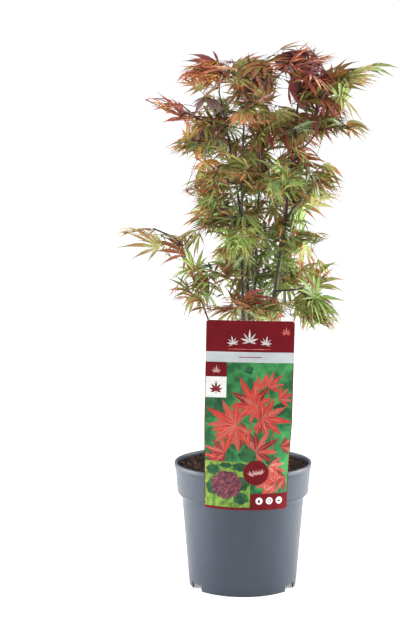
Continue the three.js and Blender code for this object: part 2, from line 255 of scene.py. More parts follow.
foot_ring = (pot_radii > FOOT_RADIUS - WALL - 0.0006) & (pot_points[:, 2] < NOTCH_HEIGHT)
for notch in notch_centres:
    off = np.abs((pot_turns - notch + math.pi) % math.tau - math.pi)
    raised = foot_ring & (off < NOTCH_HALF)
    squashed = NOTCH_HEIGHT - 0.0006 + pot_points[raised, 2] * 0.07
    inner_side = pot_radii[raised] < FOOT_RADIUS - WALL / 2
    pot_points[raised, 2] = np.where(inner_side, np.minimum(squashed, CHANNEL_TOP - 0.0001), squashed)

pot_plastic, pot_shader = new_material("pot_plastic", srgb(38, 47, 60), 0.34, 0.46)
pot_place = object_place(pot_plastic)
flow = grain(pot_plastic, object_place(pot_plastic, (1, 1, 0.35)), 26, 3)
coloured(pot_plastic, pot_shader, flow, (0.3, srgb(35, 44, 57)), (0.7, srgb(41, 50, 63)))
join(pot_plastic, levels(pot_plastic, grain(pot_plastic, pot_place, 90, 5), 0.33, 0.5),
     pot_shader.inputs["Roughness"])
relief(pot_plastic, pot_shader, grain(pot_plastic, pot_place, 1600, 2), 0.00006, 0.35)
pot = new_piece("pot_shell", pot_points, pot_faces, [pot_plastic])

# Drainage holes are punched through the raised ring.
HOLES = 9
HOLE_RADIUS = 0.0052
hole_ring = (HUB_RADIUS + 0.006 + FOOT_RADIUS - WALL) / 2
cutter = bmesh.new()
for k in range(HOLES):
    turn = (k + 0.5) * math.tau / HOLES
    centre = (hole_ring * math.cos(turn), hole_ring * math.sin(turn), CHANNEL_TOP + WALL / 2)
    bmesh.ops.create_cone(cutter, cap_ends=True, segments=28, radius1=HOLE_RADIUS, radius2=HOLE_RADIUS,
                          depth=3 * WALL, matrix=Matrix.Translation(centre))
cutter_mesh = bpy.data.meshes.new("drain_cutter")
cutter.to_mesh(cutter_mesh)
cutter.free()
cutter_object = bpy.data.objects.new("drain_cutter", cutter_mesh)
bpy.context.scene.collection.objects.link(cutter_object)


def apply_modifiers(piece):
    """Replaces the piece's mesh by the one that its modifiers make."""
    shaped = bpy.data.meshes.new_from_object(piece.evaluated_get(bpy.context.evaluated_depsgraph_get()))
    piece.modifiers.clear()
    piece.data = shaped


punch = pot.modifiers.new("drain", "BOOLEAN")
punch.operation = "DIFFERENCE"
punch.solver = "EXACT"
punch.object = cutter_object
apply_modifiers(pot)
bpy.data.objects.remove(cutter_object)
pot.data.set_sharp_from_angle(angle=math.radians(38))
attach(pot, "root")
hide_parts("pot")

# ------------------------------------------------------------------------------------------------------ soil
# Moist dark peat fills the pot right up to its lip and is heaped a little round the stem. Crumbs of peat,
# short fibres and reddish chips of composted bark lie loose on it.
soil_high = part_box("soil")[1]
SOIL_EDGE = RIM_RADIUS - 2 * WALL - 0.0016
SOIL_EDGE_HEIGHT = POT_HEIGHT - 0.0045
SOIL_CROWN_HEIGHT = soil_high.z + 0.003
CRUMBS = 2600
CHIPS = 420
FIBRES = 240
FIBRE_RADIUS = 0.0003
STEM_CLEARANCE = 0.013
soil_random = random.Random(41)


def soil_height(x, y):
    """The surface of the peat: low at the wall, heaped to the middle, and lumpy all over."""
    out = min(math.hypot(x, y) / SOIL_EDGE, 1)
    heap = SOIL_EDGE_HEIGHT + (SOIL_CROWN_HEIGHT - SOIL_EDGE_HEIGHT) * (1 - out**2.2)
    spot = Vector((x, y, 0.3))
    lumps = noise.noise(spot * 70) * 0.0016 + noise.noise(spot * 190) * 0.0012
    lumps = lumps + noise.noise(spot * 520) * 0.0007
    return heap - 0.0012 + lumps * min(1, 3.2 * (1.08 - out))


soil_rings = 74
soil_turns = 220
soil_points = [(0, 0, soil_height(0, 0))]
for ring in range(1, soil_rings + 1):
    radius = SOIL_EDGE * ring / soil_rings
    for k in range(soil_turns):
        turn = k * math.tau / soil_turns
        x, y = radius * math.cos(turn), radius * math.sin(turn)
        soil_points.append((x, y, soil_height(x, y)))
soil_floor = CHANNEL_TOP + WALL + 0.0006
for radius, height in (
    (SOIL_EDGE - 0.003, collar_foot + 0.004),
    (BODY_RADIUS - WALL - 0.0012, step_foot - 0.003),
    (FOOT_RADIUS - WALL - 0.001, soil_floor),
):
    for k in range(soil_turns):
        turn = k * math.tau / soil_turns
        soil_points.append((radius * math.cos(turn), radius * math.sin(turn), height))
soil_points.append((0, 0, soil_floor))
soil_faces = []
for k in range(soil_turns):
    after = (k + 1) % soil_turns
    soil_faces.append((0, 1 + k, 1 + after))
    for ring in range(soil_rings + 2):
        here = 1 + ring * soil_turns
        soil_faces.append((here + k, here + soil_turns + k, here + soil_turns + after, here + after))
    last = 1 + (soil_rings + 2) * soil_turns
    soil_faces.append((last + after, last + k, len(soil_points) - 1))

peat, peat_shader = new_material("peat", srgb(34, 25, 19), 0.95, 0.2)
peat_place = object_place(peat)
peat_grain = grain(peat, peat_place, 420, 8, 0.7)
coloured(peat, peat_shader, peat_grain, (0.32, srgb(11, 8, 7)), (0.5, srgb(30, 21, 16)),
         (0.68, srgb(70, 48, 34)))
relief(peat, peat_shader, peat_grain, 0.0012, 0.9)
soil = new_piece("soil_bed", soil_points, soil_faces, [peat])
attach(soil, "root")
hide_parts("soil")

ICO = bmesh.new()
bmesh.ops.create_icosphere(ICO, subdivisions=1, radius=1)
ico_points = np.array([vertex.co[:] for vertex in ICO.verts])
ico_faces = np.array([[vertex.index for vertex in face.verts] for face in ICO.faces])
ICO.free()


class Heap:
    """Many like bits that are joined into one piece: their points, faces and the material of each face."""

    def __init__(self):
        self.points = []
        self.faces = []
        self.kinds = []
        self.count = 0

    def add(self, points, faces, kind=0):
        points = np.asarray(points, dtype=float)
        faces = np.asarray(faces, dtype=np.int64)
        self.points.append(points)
        self.faces.append(faces + self.count)
        self.kinds.append(np.broadcast_to(np.asarray(kind, dtype=np.int32), (len(faces),)))
        self.count += len(points)

    def piece(self, name, materials, smooth=True):
        points = np.concatenate(self.points)
        kinds = np.concatenate(self.kinds)
        corners = np.concatenate([rows.ravel() for rows in self.faces])
        sizes = np.concatenate([np.full(len(rows), rows.shape[1]) for rows in self.faces])
        mesh = bpy.data.meshes.new(name)
        mesh.vertices.add(len(points))
        mesh.vertices.foreach_set("co", points.astype(np.float32).ravel())
        mesh.loops.add(len(corners))
        mesh.loops.foreach_set("vertex_index", corners.astype(np.int32))
        mesh.polygons.add(len(sizes))
        starts = np.concatenate([[0], np.cumsum(sizes)[:-1]])
        mesh.polygons.foreach_set("loop_start", starts.astype(np.int32))
        mesh.polygons.foreach_set("loop_total", sizes.astype(np.int32))
        for material in materials:
            mesh.materials.append(material)
        mesh.polygons.foreach_set("material_index", kinds)
        mesh.polygons.foreach_set("use_smooth", np.full(len(sizes), smooth))
        mesh.update(calc_edges=True)
        mesh.validate()
        made = bpy.data.objects.new(name, mesh)
        bpy.context.scene.collection.objects.link(made)
        return made


def any_turn(source):
    return np.array(Matrix.Rotation(source.uniform(0, math.tau), 3, "Z")
                    @ Matrix.Rotation(math.acos(source.uniform(-1, 1)), 3, "X")
                    @ Matrix.Rotation(source.uniform(0, math.tau), 3, "Z"))


def lying(spread, axis):
    """A random way to lie on the peat, up to spread radians out of level about an axis."""
    return np.array(Matrix.Rotation(soil_random.uniform(0, math.tau), 3, "Z")
                    @ Matrix.Rotation(soil_random.uniform(-spread, spread), 3, axis))


def drop_on_soil(keep_in):
    """A random spot on the peat, inside the wall and clear of the stem."""
    while True:
        x = soil_random.uniform(-SOIL_EDGE, SOIL_EDGE)
        y = soil_random.uniform(-SOIL_EDGE, SOIL_EDGE)
        if math.hypot(x, y) < SOIL_EDGE - keep_in and math.hypot(x - 0.003, y - 0.003) > STEM_CLEARANCE:
            return x, y, soil_height(x, y)


crumbs = Heap()
for _ in range(CRUMBS):
    size = 0.0006 + 0.0017 * soil_random.random() ** 2.2
    x, y, z = drop_on_soil(0.0015 + size)
    lump = ico_points * np.array([soil_random.uniform(0.7, 1.3) for _ in range(len(ico_points))])[:, None]
    lump = lump * (size * np.array([1, soil_random.uniform(0.6, 1), soil_random.uniform(0.5, 0.9)]))
    crumbs.add(lump @ any_turn(soil_random).T + (x, y, z + size * 0.35), ico_faces,
               soil_random.choice((0, 0, 1)))
for _ in range(CHIPS):
    length = soil_random.uniform(0.002, 0.0062)
    breadth = length * soil_random.uniform(0.25, 0.6)
    depth = soil_random.uniform(0.0005, 0.0013)
    x, y, z = drop_on_soil(0.004)
    block = ico_points * np.array([soil_random.uniform(0.8, 1.25) for _ in range(len(ico_points))])[:, None]
    lie = lying(0.5, "X")
    crumbs.add((block * (length / 2, breadth / 2, depth)) @ lie.T + (x, y, z + depth * 0.6), ico_faces,
               soil_random.choice((2, 2, 3, 4)))
for _ in range(FIBRES):
    length = soil_random.uniform(0.004, 0.013)
    x, y, z = drop_on_soil(0.004)
    lie = lying(0.35, "Y")
    fibre = ico_points * (length / 2, FIBRE_RADIUS, FIBRE_RADIUS)
    crumbs.add(fibre @ lie.T + (x, y, z + 0.0007), ico_faces, soil_random.choice((3, 4)))
crumb_materials = []
for name, colour in (
    ("peat_crumb", (28, 20, 16)),
    ("peat_light", (52, 37, 27)),
    ("bark_chip", (106, 62, 44)),
    ("bark_dark", (72, 44, 34)),
    ("fibre", (126, 92, 66)),
):
    material, shader = new_material(name, srgb(*colour), 0.9, 0.3)
    crumb_grain = grain(material, object_place(material), 900, 5)
    dark = srgb(*[value * 0.6 for value in colour])
    coloured(material, shader, crumb_grain, (0.3, dark), (0.7, srgb(*colour)))
    crumb_materials.append(material)
crumb_piece = crumbs.piece("soil_crumbs", crumb_materials, smooth=False)
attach(crumb_piece, "root")

# ----------------------------------------------------------------------------------------------------- label
# The label is one sheet of stiff white plastic, printed on its front and varnished. It is bent round the
# collar at its foot, stands nearly flat at its top, and a tongue behind it hooks over the rim. The print has
# no lettering: a dark red head with pale leaves, a pale band, and a picture of red leaves and a small shrub.
label_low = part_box("label")[0]
CARD_WIDTH = 0.117
CARD_HEIGHT = 0.256
CARD_THICK = 0.0007
CARD_LEAN = math.radians(1.2)
CARD_OFFSET = 0.0022
CARD_FOOT = label_low.z + math.sin(CARD_LEAN) * CARD_WIDTH / 2
CARD_BEND = RIM_RADIUS + 0.0011
CARD_FLAT_FROM = CARD_FOOT + 0.124
CARD_TOP_BEND = 0.12
CARD_CORNER = 0.0035
TONGUE_WIDTH = 0.044
TONGUE_ROOM = 0.0074
TONGUE_DEPTH = 0.011
TONGUE_COLUMNS = 23
HOOK_RISE = 3.4  # millimetres, from the slot in the card to the top of the hook


def on_card(across, down, lift=0.0):
    """Points of the bent card, from millimetres across it and down from its top, raised by lift."""
    across = np.asarray(across, dtype=float) / 1000 - CARD_WIDTH / 2
    rise = CARD_HEIGHT - np.asarray(down, dtype=float) / 1000
    x = across * math.cos(CARD_LEAN) + rise * math.sin(CARD_LEAN) + CARD_OFFSET
    z = rise * math.cos(CARD_LEAN) - across * math.sin(CARD_LEAN) + CARD_FOOT
    share = np.clip((z - CARD_FOOT) / (CARD_FLAT_FROM - CARD_FOOT), 0, 1)
    radius = CARD_BEND / (1 + (CARD_TOP_BEND - 1) * share**2)
    turn = x / radius
    out = radius + 0.0001 + CARD_THICK + lift
    return np.stack([np.sin(turn) * out, radius - CARD_BEND - np.cos(turn) * out, z], -1)


def grid_faces(rows, columns, close=False):
    """Quads between the points of a grid that is stored row by row."""
    faces = []
    for row in range(rows - 1):
        for column in range(columns if close else columns - 1):
            after = (column + 1) % columns
            faces.append((row * columns + column, row * columns + after, (row + 1) * columns + after,
                          (row + 1) * columns + column))
    return faces


def turned_over(faces):
    return [face[::-1] for face in faces]


CARD_COLUMNS = 61
CARD_ROWS = 129
card_width_mm = CARD_WIDTH * 1000
card_height_mm = CARD_HEIGHT * 1000
corner_mm = CARD_CORNER * 1000
downs = np.linspace(0, card_height_mm, CARD_ROWS)
near_ends = np.minimum(downs, card_height_mm - downs)
corner_curve = corner_mm - np.sqrt(np.maximum(0, corner_mm**2 - (corner_mm - near_ends) ** 2))
inset = np.where(near_ends < corner_mm, corner_curve, 0)
card_across = np.array([np.linspace(edge, card_width_mm - edge, CARD_COLUMNS) for edge in inset])
card_down = np.repeat(downs[:, None], CARD_COLUMNS, 1)
card_front = on_card(card_across, card_down).reshape(-1, 3)
card_back = on_card(card_across, card_down, -CARD_THICK).reshape(-1, 3)
card = Heap()
card_faces = grid_faces(CARD_ROWS, CARD_COLUMNS)
card.add(card_front, turned_over(card_faces))
card.add(card_back, card_faces)
around = list(range(CARD_COLUMNS))
around += [row * CARD_COLUMNS + CARD_COLUMNS - 1 for row in range(1, CARD_ROWS)]
around += [(CARD_ROWS - 1) * CARD_COLUMNS + column for column in range(CARD_COLUMNS - 2, -1, -1)]
around += [row * CARD_COLUMNS for row in range(CARD_ROWS - 2, 0, -1)]
edge_front = card_front[around]
edge_back = card_back[around]
card.add(np.concatenate([edge_front, edge_back]), grid_faces(2, len(around), close=True))


tongue_left = (CARD_WIDTH - TONGUE_WIDTH) * 500
hook_top = (CARD_HEIGHT + CARD_FOOT - POT_HEIGHT) * 1000 - 5.2
tongue_lift = -TONGUE_ROOM - CARD_THICK
tongue_rows = np.linspace(0, 1, 25)
tongue_path = []
for share in tongue_rows:
    if share < 0.5:
        turn = share * math.pi
        behind = tongue_lift * (1 - math.cos(turn)) * 0.5
        tongue_path.append((hook_top + HOOK_RISE * (1 - math.sin(turn)), behind))
    else:
        tongue_path.append((hook_top + HOOK_RISE + (share - 0.5) * 2 * TONGUE_DEPTH * 1000, tongue_lift))
tongue_across = np.linspace(tongue_left, tongue_left + TONGUE_WIDTH * 1000, TONGUE_COLUMNS)
for side in (0, -CARD_THICK):
    strip = np.array([on_card(tongue_across, np.full(TONGUE_COLUMNS, down), lift + side)
                      for down, lift in tongue_path])
    tongue_faces = grid_faces(len(tongue_path), TONGUE_COLUMNS)
    card.add(strip.reshape(-1, 3), tongue_faces if side else turned_over(tongue_faces))

card_plastic, card_shader = new_material("label_plastic", srgb(232, 230, 228), 0.35, 0.5)
join(card_plastic, levels(card_plastic, grain(card_plastic, object_place(card_plastic), 60, 3), 0.3, 0.42),
     card_shader.inputs["Roughness"])
card_piece = card.piece("label_card", [card_plastic])
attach(card_piece, "root")
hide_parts("label")


def print_ink(name, colour, other=None, scale=40.0):
    """Varnished ink: one colour, or two that run into each other in soft patches."""
    material, shader = new_material(name, srgb(*colour), 0.35, 0.1)
    second = other or tuple(value * 0.93 for value in colour)
    patches = grain(material, object_place(material), scale, 3)
    coloured(material, shader, patches, (0.38, srgb(*colour)), (0.62, srgb(*second)))
    return material


inks = [
    print_ink("ink_wine", (103, 12, 22), (92, 10, 19)),
    print_ink("ink_pale", (178, 184, 186)),
    print_ink("ink_green", (66, 142, 80), (36, 84, 52), 55),
    print_ink("ink_dark_green", (28, 66, 44), (52, 96, 60), 80),
    print_ink("ink_coral", (184, 66, 54), (160, 50, 46), 90),
    print_ink("ink_rose", (164, 88, 76), (172, 66, 58), 120),
    print_ink("ink_brick", (132, 42, 38), (104, 34, 36), 120),
    print_ink("ink_mound", (112, 70, 82), (66, 40, 50), 260),
    print_ink("ink_lawn", (124, 152, 68), (66, 100, 42), 180),
    print_ink("ink_white", (216, 216, 214)),
    print_ink("ink_blush", (196, 128, 116), (180, 82, 72), 70),
]
WINE, PALE, GREEN, DARK_GREEN, CORAL, ROSE, BRICK, MOUND, LAWN, WHITE, BLUSH = range(len(inks))
printed = Heap()
INK = 0.00004  # each layer of print lies this much above the one below it
HEAD_FOOT = 42.0
PICTURE_TOP = 55.5
BAND_TOP = 233.5
INSET_TOP = 190.5
INSET_WIDTH = 62.0
INSET_FOOT = 252.5
STRIP_FOOT = 253.4
SHRUB = (31, 222)
SHRUB_FLAT = 0.92
SHEET_STEP = 2.0
MARGIN = 1.2
PICTURE_LIMIT = PICTURE_TOP + 0.6
ground_kinds = np.where((downs[:-1] >= HEAD_FOOT) & (downs[:-1] < PICTURE_TOP), PALE, WINE)


def print_grid(across, down, lift, faces, kind):
    printed.add(on_card(across, down, lift).reshape(-1, 3), faces, kind)


def card_sheet(left, top, width, height, lift, kind):
    """A rectangle of print laid on the bent card. Sizes in millimetres."""
    columns = max(2, int(width / SHEET_STEP) + 1)
    rows = max(2, int(height / SHEET_STEP) + 1)
    across, down = np.meshgrid(np.linspace(left, left + width, columns), np.linspace(top, top + height, rows))
    print_grid(across, down, lift, turned_over(grid_faces(rows, columns)), kind)


print_grid(card_across, card_down, INK, turned_over(card_faces), np.repeat(ground_kinds, CARD_COLUMNS - 1))
card_sheet(MARGIN, PICTURE_LIMIT, card_width_mm - 2 * MARGIN, BAND_TOP - PICTURE_LIMIT, 2 * INK, GREEN)


def card_blob(across, down, size, kind, lift, squash=1.0, wave=0.0, waves=5, turn=0.0, inner=0.0):
    """A printed disc, ring or wavy patch. Sizes in millimetres."""
    turns = 48
    angles = np.linspace(0, math.tau, turns, endpoint=False)
    wavy = np.sin(waves * angles + turn) + 0.6 * np.sin((2 * waves + 1) * angles + 2.3 * turn)
    edge = size * (1 + wave * wavy)
    rows = [inner + (edge - inner) * share for share in np.linspace(0, 1, max(3, int(size / 1.5)))]
    grid_across = np.array([across + row * np.cos(angles) for row in rows])
    grid_down = np.array([down - row * squash * np.sin(angles) for row in rows])
    grid_across = np.clip(grid_across, MARGIN, card_width_mm - MARGIN)
    print_grid(grid_across, grid_down, lift, grid_faces(len(rows), turns, close=True), kind)


def card_lobe(across, down, heading, length, width, kind, lift, bend=0.0, highest=PICTURE_LIMIT):
    """One pointed lobe of a printed leaf, from its foot in a heading in degrees (0 is right, 90 is up)."""
    stations = 13
    shares = np.linspace(0, 1, stations)
    headings = np.radians(heading + bend * shares)
    stride = length / (stations - 1)
    middle_across = across + np.concatenate([[0], np.cumsum(np.cos(headings[:-1]))]) * stride
    middle_down = down - np.concatenate([[0], np.cumsum(np.sin(headings[:-1]))]) * stride
    half = width / 2 * np.interp(shares, (0, 0.2, 0.45, 0.7, 0.88, 1), (0.25, 0.62, 1, 0.72, 0.28, 0.02))
    half = half * (1 + 0.07 * (-1.0) ** np.arange(stations))
    sides = np.array([-1, 0, 1])
    grid_across = middle_across[:, None] + sides * (half * np.sin(headings))[:, None]
    grid_down = middle_down[:, None] + sides * (half * np.cos(headings))[:, None]
    grid_across = np.clip(grid_across, MARGIN, card_width_mm - MARGIN)
    grid_down = np.clip(grid_down, highest, card_height_mm - MARGIN)
    print_grid(grid_across, grid_down, lift, grid_faces(stations, 3), kind)


def card_leaf(across, down, heading, size, kinds, lift, spread, lobes=7, width=0.22, highest=PICTURE_LIMIT):
    """A printed maple leaf: a fan of lobes, the middle one the longest."""
    half = lobes // 2
    for k in sorted(range(-half, half + 1), key=lambda step: -abs(step)):
        length = size * (1 - 0.13 * abs(k) - 0.03 * (k % 2))
        kind = kinds[(k + half) % len(kinds)]
        way, above = heading + k * spread, lift + (half - abs(k)) * 0.15 * INK
        card_lobe(across, down, way, length, size * width, kind, above, 6 * k, highest)
        card_lobe(across, down, way, length * 0.9, size * 0.016, BLUSH, lift + 0.8 * INK, 6 * k, highest)


def card_stalk(points, width, kind, lift):
    """A thin printed stalk through points of (across, down)."""
    points = np.array(points, dtype=float)
    lengths = np.concatenate([[0], np.cumsum(np.linalg.norm(np.diff(points, axis=0), axis=1))])
    steps = np.linspace(0, lengths[-1], max(4, int(lengths[-1] / 2)))
    middle = np.stack([np.interp(steps, lengths, points[:, 0]), np.interp(steps, lengths, points[:, 1])], 1)
    ahead = np.gradient(middle, axis=0)
    ahead = ahead / np.linalg.norm(ahead, axis=1)[:, None]
    side = np.stack([-ahead[:, 1], ahead[:, 0]], 1) * width / 2
    grid = np.stack([middle - side, middle + side], 1)
    print_grid(grid[..., 0], grid[..., 1], lift, grid_faces(len(middle), 2), kind)


picture_random = random.Random(12)
for across, down, size in (
    (12, 116, 17), (22, 178, 15), (60, 180, 13), (100, 118, 9),
    (92, 190, 9), (70, 128, 10), (44, 160, 14), (58, 66, 6),
):
    card_blob(across, down, size, DARK_GREEN, 2.4 * INK, 0.9, 0.12, 4, size)
for across, down, heading, size, kinds, layer in (
    (28, 178, 165, 30, (BRICK, ROSE), 3.2),
    (20, 186, 200, 26, (BRICK, CORAL), 3.4),
    (70, 176, 30, 36, (ROSE, BRICK), 3.6),
    (88, 196, -20, 27, (ROSE, BLUSH), 3.8),
    (104, 170, 10, 22, (BRICK, ROSE), 4.0),
    (58, 150, 215, 30, (BRICK, ROSE), 4.2),
    (98, 222, 155, 34, (ROSE, CORAL), 4.3),
    (84, 229, 65, 26, (ROSE, BLUSH), 4.4),
    (112, 214, 200, 26, (BRICK, ROSE), 4.5),
    (66, 114, 118, 44, (CORAL, BRICK, CORAL), 4.6),
    (84, 88, 40, 26, (CORAL, ROSE), 4.8),
    (78, 90, 120, 20, (ROSE, CORAL), 5.0),
    (98, 104, 20, 24, (CORAL, ROSE), 5.1),
    (42, 140, 150, 46, (ROSE, CORAL), 5.4),
    (41, 141, 250, 44, (ROSE, CORAL), 5.6),
    (77, 130, -8, 42, (CORAL, ROSE, CORAL), 5.8),
    (76, 132, -70, 26, (CORAL, BRICK), 6.0),
    (70, 116, 178, 32, (CORAL, CORAL, ROSE), 6.2),
):
    card_leaf(across, down, heading, size, kinds, layer * INK, spread=picture_random.uniform(25, 32),
              lobes=5 if size < 30 else 7)
for stalk in (
    ((60, 172), (62, 140), (68, 116), (70, 100)),
    ((42, 140), (62, 148), (80, 142)),
    ((62, 128), (77, 130)),
    ((96, 186), (90, 160), (96, 140)),
    ((84, 90), (86, 104), (84, 128)),
):
    card_stalk(stalk, 0.9, CORAL, 6.8 * INK)

card_sheet(MARGIN, INSET_TOP, INSET_WIDTH, INSET_FOOT - INSET_TOP, 7.4 * INK, LAWN)
for across, down, size, squash in (
    (10, 202, 9, 0.8), (50, 196, 11, 0.5), (58, 220, 8, 1.2),
    (8, 226, 9, 1.2), (54, 240, 10, 0.8), (30, 194, 8, 0.45),
):
    across = min(max(across, 1.4 + size * 1.2), INSET_WIDTH - size * 1.1)
    down = min(max(down, INSET_TOP + 0.4 + size * squash * 1.2), 252 - size * squash * 1.2)
    card_blob(across, down, size, DARK_GREEN, 7.8 * INK, squash, 0.09, 6, size)
card_blob(*SHRUB, 20.5, MOUND, 8.2 * INK, SHRUB_FLAT, 0.05, 7, 0.7)
for _ in range(210):
    turn = picture_random.uniform(0, math.tau)
    out = 19.5 * math.sqrt(picture_random.random())
    across = SHRUB[0] + out * math.cos(turn)
    down = SHRUB[1] - out * SHRUB_FLAT * math.sin(turn)
    card_lobe(across, down, picture_random.uniform(0, 360), 3.4, 1.0,
              picture_random.choice((BRICK, MOUND, MOUND, ROSE)), 8.4 * INK)
card_blob(30, 247.5, 13, LAWN, 8.8 * INK, 0.32, 0.05, 5, 1.9)

card_blob(70.5, 205, 17.2, WINE, 9.2 * INK, 0.98)
for k in range(3):
    card_leaf(63 + 7.5 * k, 209 - 1.2 * k, 90 - 24 + 24 * k, 8.5, (BLUSH, PALE), 9.6 * INK, 32, 5, 0.2)
strip_left = INSET_WIDTH + 1.6
card_sheet(strip_left, BAND_TOP, card_width_mm - MARGIN - strip_left, STRIP_FOOT - BAND_TOP, 7.0 * INK, WINE)
for k in range(3):
    middle = 75.5 + 14.2 * k
    card_blob(middle, 243.5, 4.8, WHITE, 8.2 * INK)
    if k == 0:
        card_blob(middle, 243.8, 1.7, WINE, 8.6 * INK, 1.25, 0.1, 1, -1.57)
    elif k == 1:
        card_blob(middle, 243.5, 2.6, WINE, 8.6 * INK, inner=1.7)
    else:
        card_lobe(middle - 2.6, 244.6, 12, 5.4, 3.0, WINE, 8.6 * INK)

card_sheet(0.8, PICTURE_TOP + 0.4, 27.6, 19.6, 7.0 * INK, WINE)
card_sheet(0.8, PICTURE_TOP + 20.0, 27.6, 28.0, 7.0 * INK, WHITE)
card_leaf(14.6, PICTURE_TOP + 13.6, 90, 9.0, (BLUSH, PALE), 7.4 * INK, 32, 7, 0.17)
card_leaf(14.6, PICTURE_TOP + 38.5, 90, 13.0, (WINE,), 7.6 * INK, 34, 7, 0.24)
card_stalk(((14.6, PICTURE_TOP + 38), (14.9, PICTURE_TOP + 43.5)), 0.9, WINE, 7.9 * INK)
card_leaf(106, 17.0, 90, 9.0, (BLUSH,), 2.2 * INK, 33, 7, 0.2, MARGIN)
for k, size in enumerate((11.5, 17.0, 11.5)):
    raised = 3 if k == 1 else 0
    card_leaf(36 + 21.5 * k, 31.5 - raised, 90 + 12 * (1 - k), size, (PALE, WHITE), 2.2 * INK, 32, 7, 0.15,
              MARGIN)
card_stalk(((30, 38.2), (86, 38.2)), 0.7, BLUSH, 2.2 * INK)
card_stalk(((44, 48.9), (74, 48.9)), 1.1, BRICK, 2.2 * INK)
print_piece = printed.piece("label_print", inks)
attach(print_piece, "root")

# ----------------------------------------------------------------------------------------------------- stems
# A short trunk with a flared foot and a graft swelling forks low down into upright leaders, and thin boughs
# leave them. The trunk's bark is grey-brown and finely cracked; the young wood is smooth, dark plum or
# green-brown, with a slight ring and bud scars at every joint. Each limb follows the centre of its solid.
GROWS_FROM = {
    "trunk": None,
    "leader_right": "trunk",
    "leader_left": "trunk",
    "leader_centre": "trunk",
    "leader_back": "trunk",
    "bough_low_left": "trunk",
    "bough_low_right": "leader_right",
    "bough_upper_left": "leader_left",
    "bough_upper_right": "leader_right",
    "bough_left": "leader_left",
    "bough_right": "leader_right",
    "bough_back_left": "leader_centre",
    "bough_back_right": "leader_back",
    "bough_back_low": "leader_back",
    "bough_front": "leader_left",
    "bough_front_right": "leader_right",
}
FLAT_SIDES = 0.868  # mean reach of a five-sided section, as a share of its corners'
WALK = 0.006
JOINT_SPACING = 0.030
TRUNK_STUB = 0.055


def unit(vector):
    vector = np.asarray(vector, dtype=float)
    return vector / max(1e-12, np.linalg.norm(vector))


def solid_tree(points, faces):
    return BVHTree.FromPolygons([tuple(point) for point in points], [tuple(face) for face in faces])


def node_points(name):
    return np.array([vertex.co[:] for vertex in frame["nodes"][name].data.vertices])


def node_faces(name):
    return [tuple(polygon.vertices) for polygon in frame["nodes"][name].data.polygons]


def section(tree, point, way):
    """Centre and mean radius of a limb's section through a point, or None outside it."""
    way = Vector(way)
    side = way.orthogonal().normalized()
    up = way.cross(side)
    found = []
    for k in range(15):
        turn = k * math.tau / 15
        hit = tree.ray_cast(Vector(point), side * math.cos(turn) + up * math.sin(turn), 0.04)[0]
        if hit is None:
            return None
        found.append(hit[:])
    found = np.array(found)
    centre = found.mean(0)
    return centre, np.linalg.norm(found - centre, axis=1).mean() / FLAT_SIDES


def smoothed(values, passes):
    values = np.array(values, dtype=float)
    for _ in range(passes):
        values[1:-1] = (values[:-2] + 2 * values[1:-1] + values[2:]) / 4
    return values


def follow(name, parent):
    """The centre line of a limb from its foot to its tip, with its radius at each point."""
    points = node_points(name)
    tree = solid_tree(points, node_faces(name))
    if parent is None:
        far = points[:, 2]
    else:
        far = np.linalg.norm(points[:, None] - parent["path"][None, ::3], axis=2).min(1)
    tip = points[far > far.max() - 0.0022].mean(0)
    away = np.linalg.norm(points - tip, axis=1)
    near = points[(away > 0.006) & (away < 0.062)] if parent else points[away > 0.01]
    way = unit(near.mean(0) - tip)
    here = tip + way * 0.0012
    path, radii = [tip], []
    for _ in range(200):
        found = section(tree, here, way)
        if found is None:
            break
        centre, radius = found
        if parent is not None:
            clear = np.linalg.norm(parent["path"] - centre, axis=1) - parent["radii"]
            if clear.min() < radius + 0.0012 and len(path) > 3:
                break
        if len(path) > 1:
            way = unit(0.6 * way + 0.4 * unit(centre - path[-1]))
        path.append(centre)
        radii.append(radius)
        here = centre + way * WALK
    radii = [radii[0], *radii]
    path = np.array(path[::-1])
    radii = np.array(radii[::-1])
    if parent is None:
        foot = path[0] - unit(path[1] - path[0]) * (path[0][2] - points[:, 2].min())
        path = np.vstack([foot, path])
        radii = np.concatenate([[radii[0]], radii])
    else:
        nearest = int(np.linalg.norm(parent["path"] - path[0], axis=1).argmin())
        start = max(0, nearest - int(0.010 / parent["pace"]))
        path = np.vstack([parent["path"][start], path])
        radii = np.concatenate([[radii[0]], radii])
    return even(path, radii, 0.0012)


def even(path, radii, pace):
    """The same line with its corners rounded off and its points at an even pace."""
    reach = np.concatenate([[0], np.cumsum(np.linalg.norm(np.diff(path, axis=0), axis=1))])
    steps = np.linspace(0, reach[-1], max(5, int(reach[-1] / pace)))
    fine = np.stack([np.interp(steps, reach, path[:, k]) for k in range(3)], 1)
    thick = smoothed(np.interp(steps, reach, radii), 60)
    return {"path": smoothed(fine, 90), "radii": thick, "pace": steps[1] - steps[0], "length": reach[-1]}


limbs = {}
for name, parent_name in GROWS_FROM.items():
    limbs[name] = follow(name, limbs.get(parent_name))


def value_noise(rows, columns, row_cells, column_cells, source):
    """A sheet of soft random values from -1 to 1 that closes on itself across its columns."""
    cells = source.uniform(-1, 1, (row_cells + 2, column_cells))
    row_at = np.linspace(0, row_cells, rows)
    column_at = np.arange(columns) * column_cells / columns
    row = np.minimum(row_at.astype(int), row_cells)
    column = column_at.astype(int)
    row_share = row_at - row
    row_share = (row_share * row_share * (3 - 2 * row_share))[:, None]
    column_share = column_at - column
    column_share = (column_share * column_share * (3 - 2 * column_share))[None]
    after = (column + 1) % column_cells
    low = cells[row][:, column] * (1 - column_share) + cells[row][:, after] * column_share
    high = cells[row + 1][:, column] * (1 - column_share) + cells[row + 1][:, after] * column_share
    return low * (1 - row_share) + high * row_share


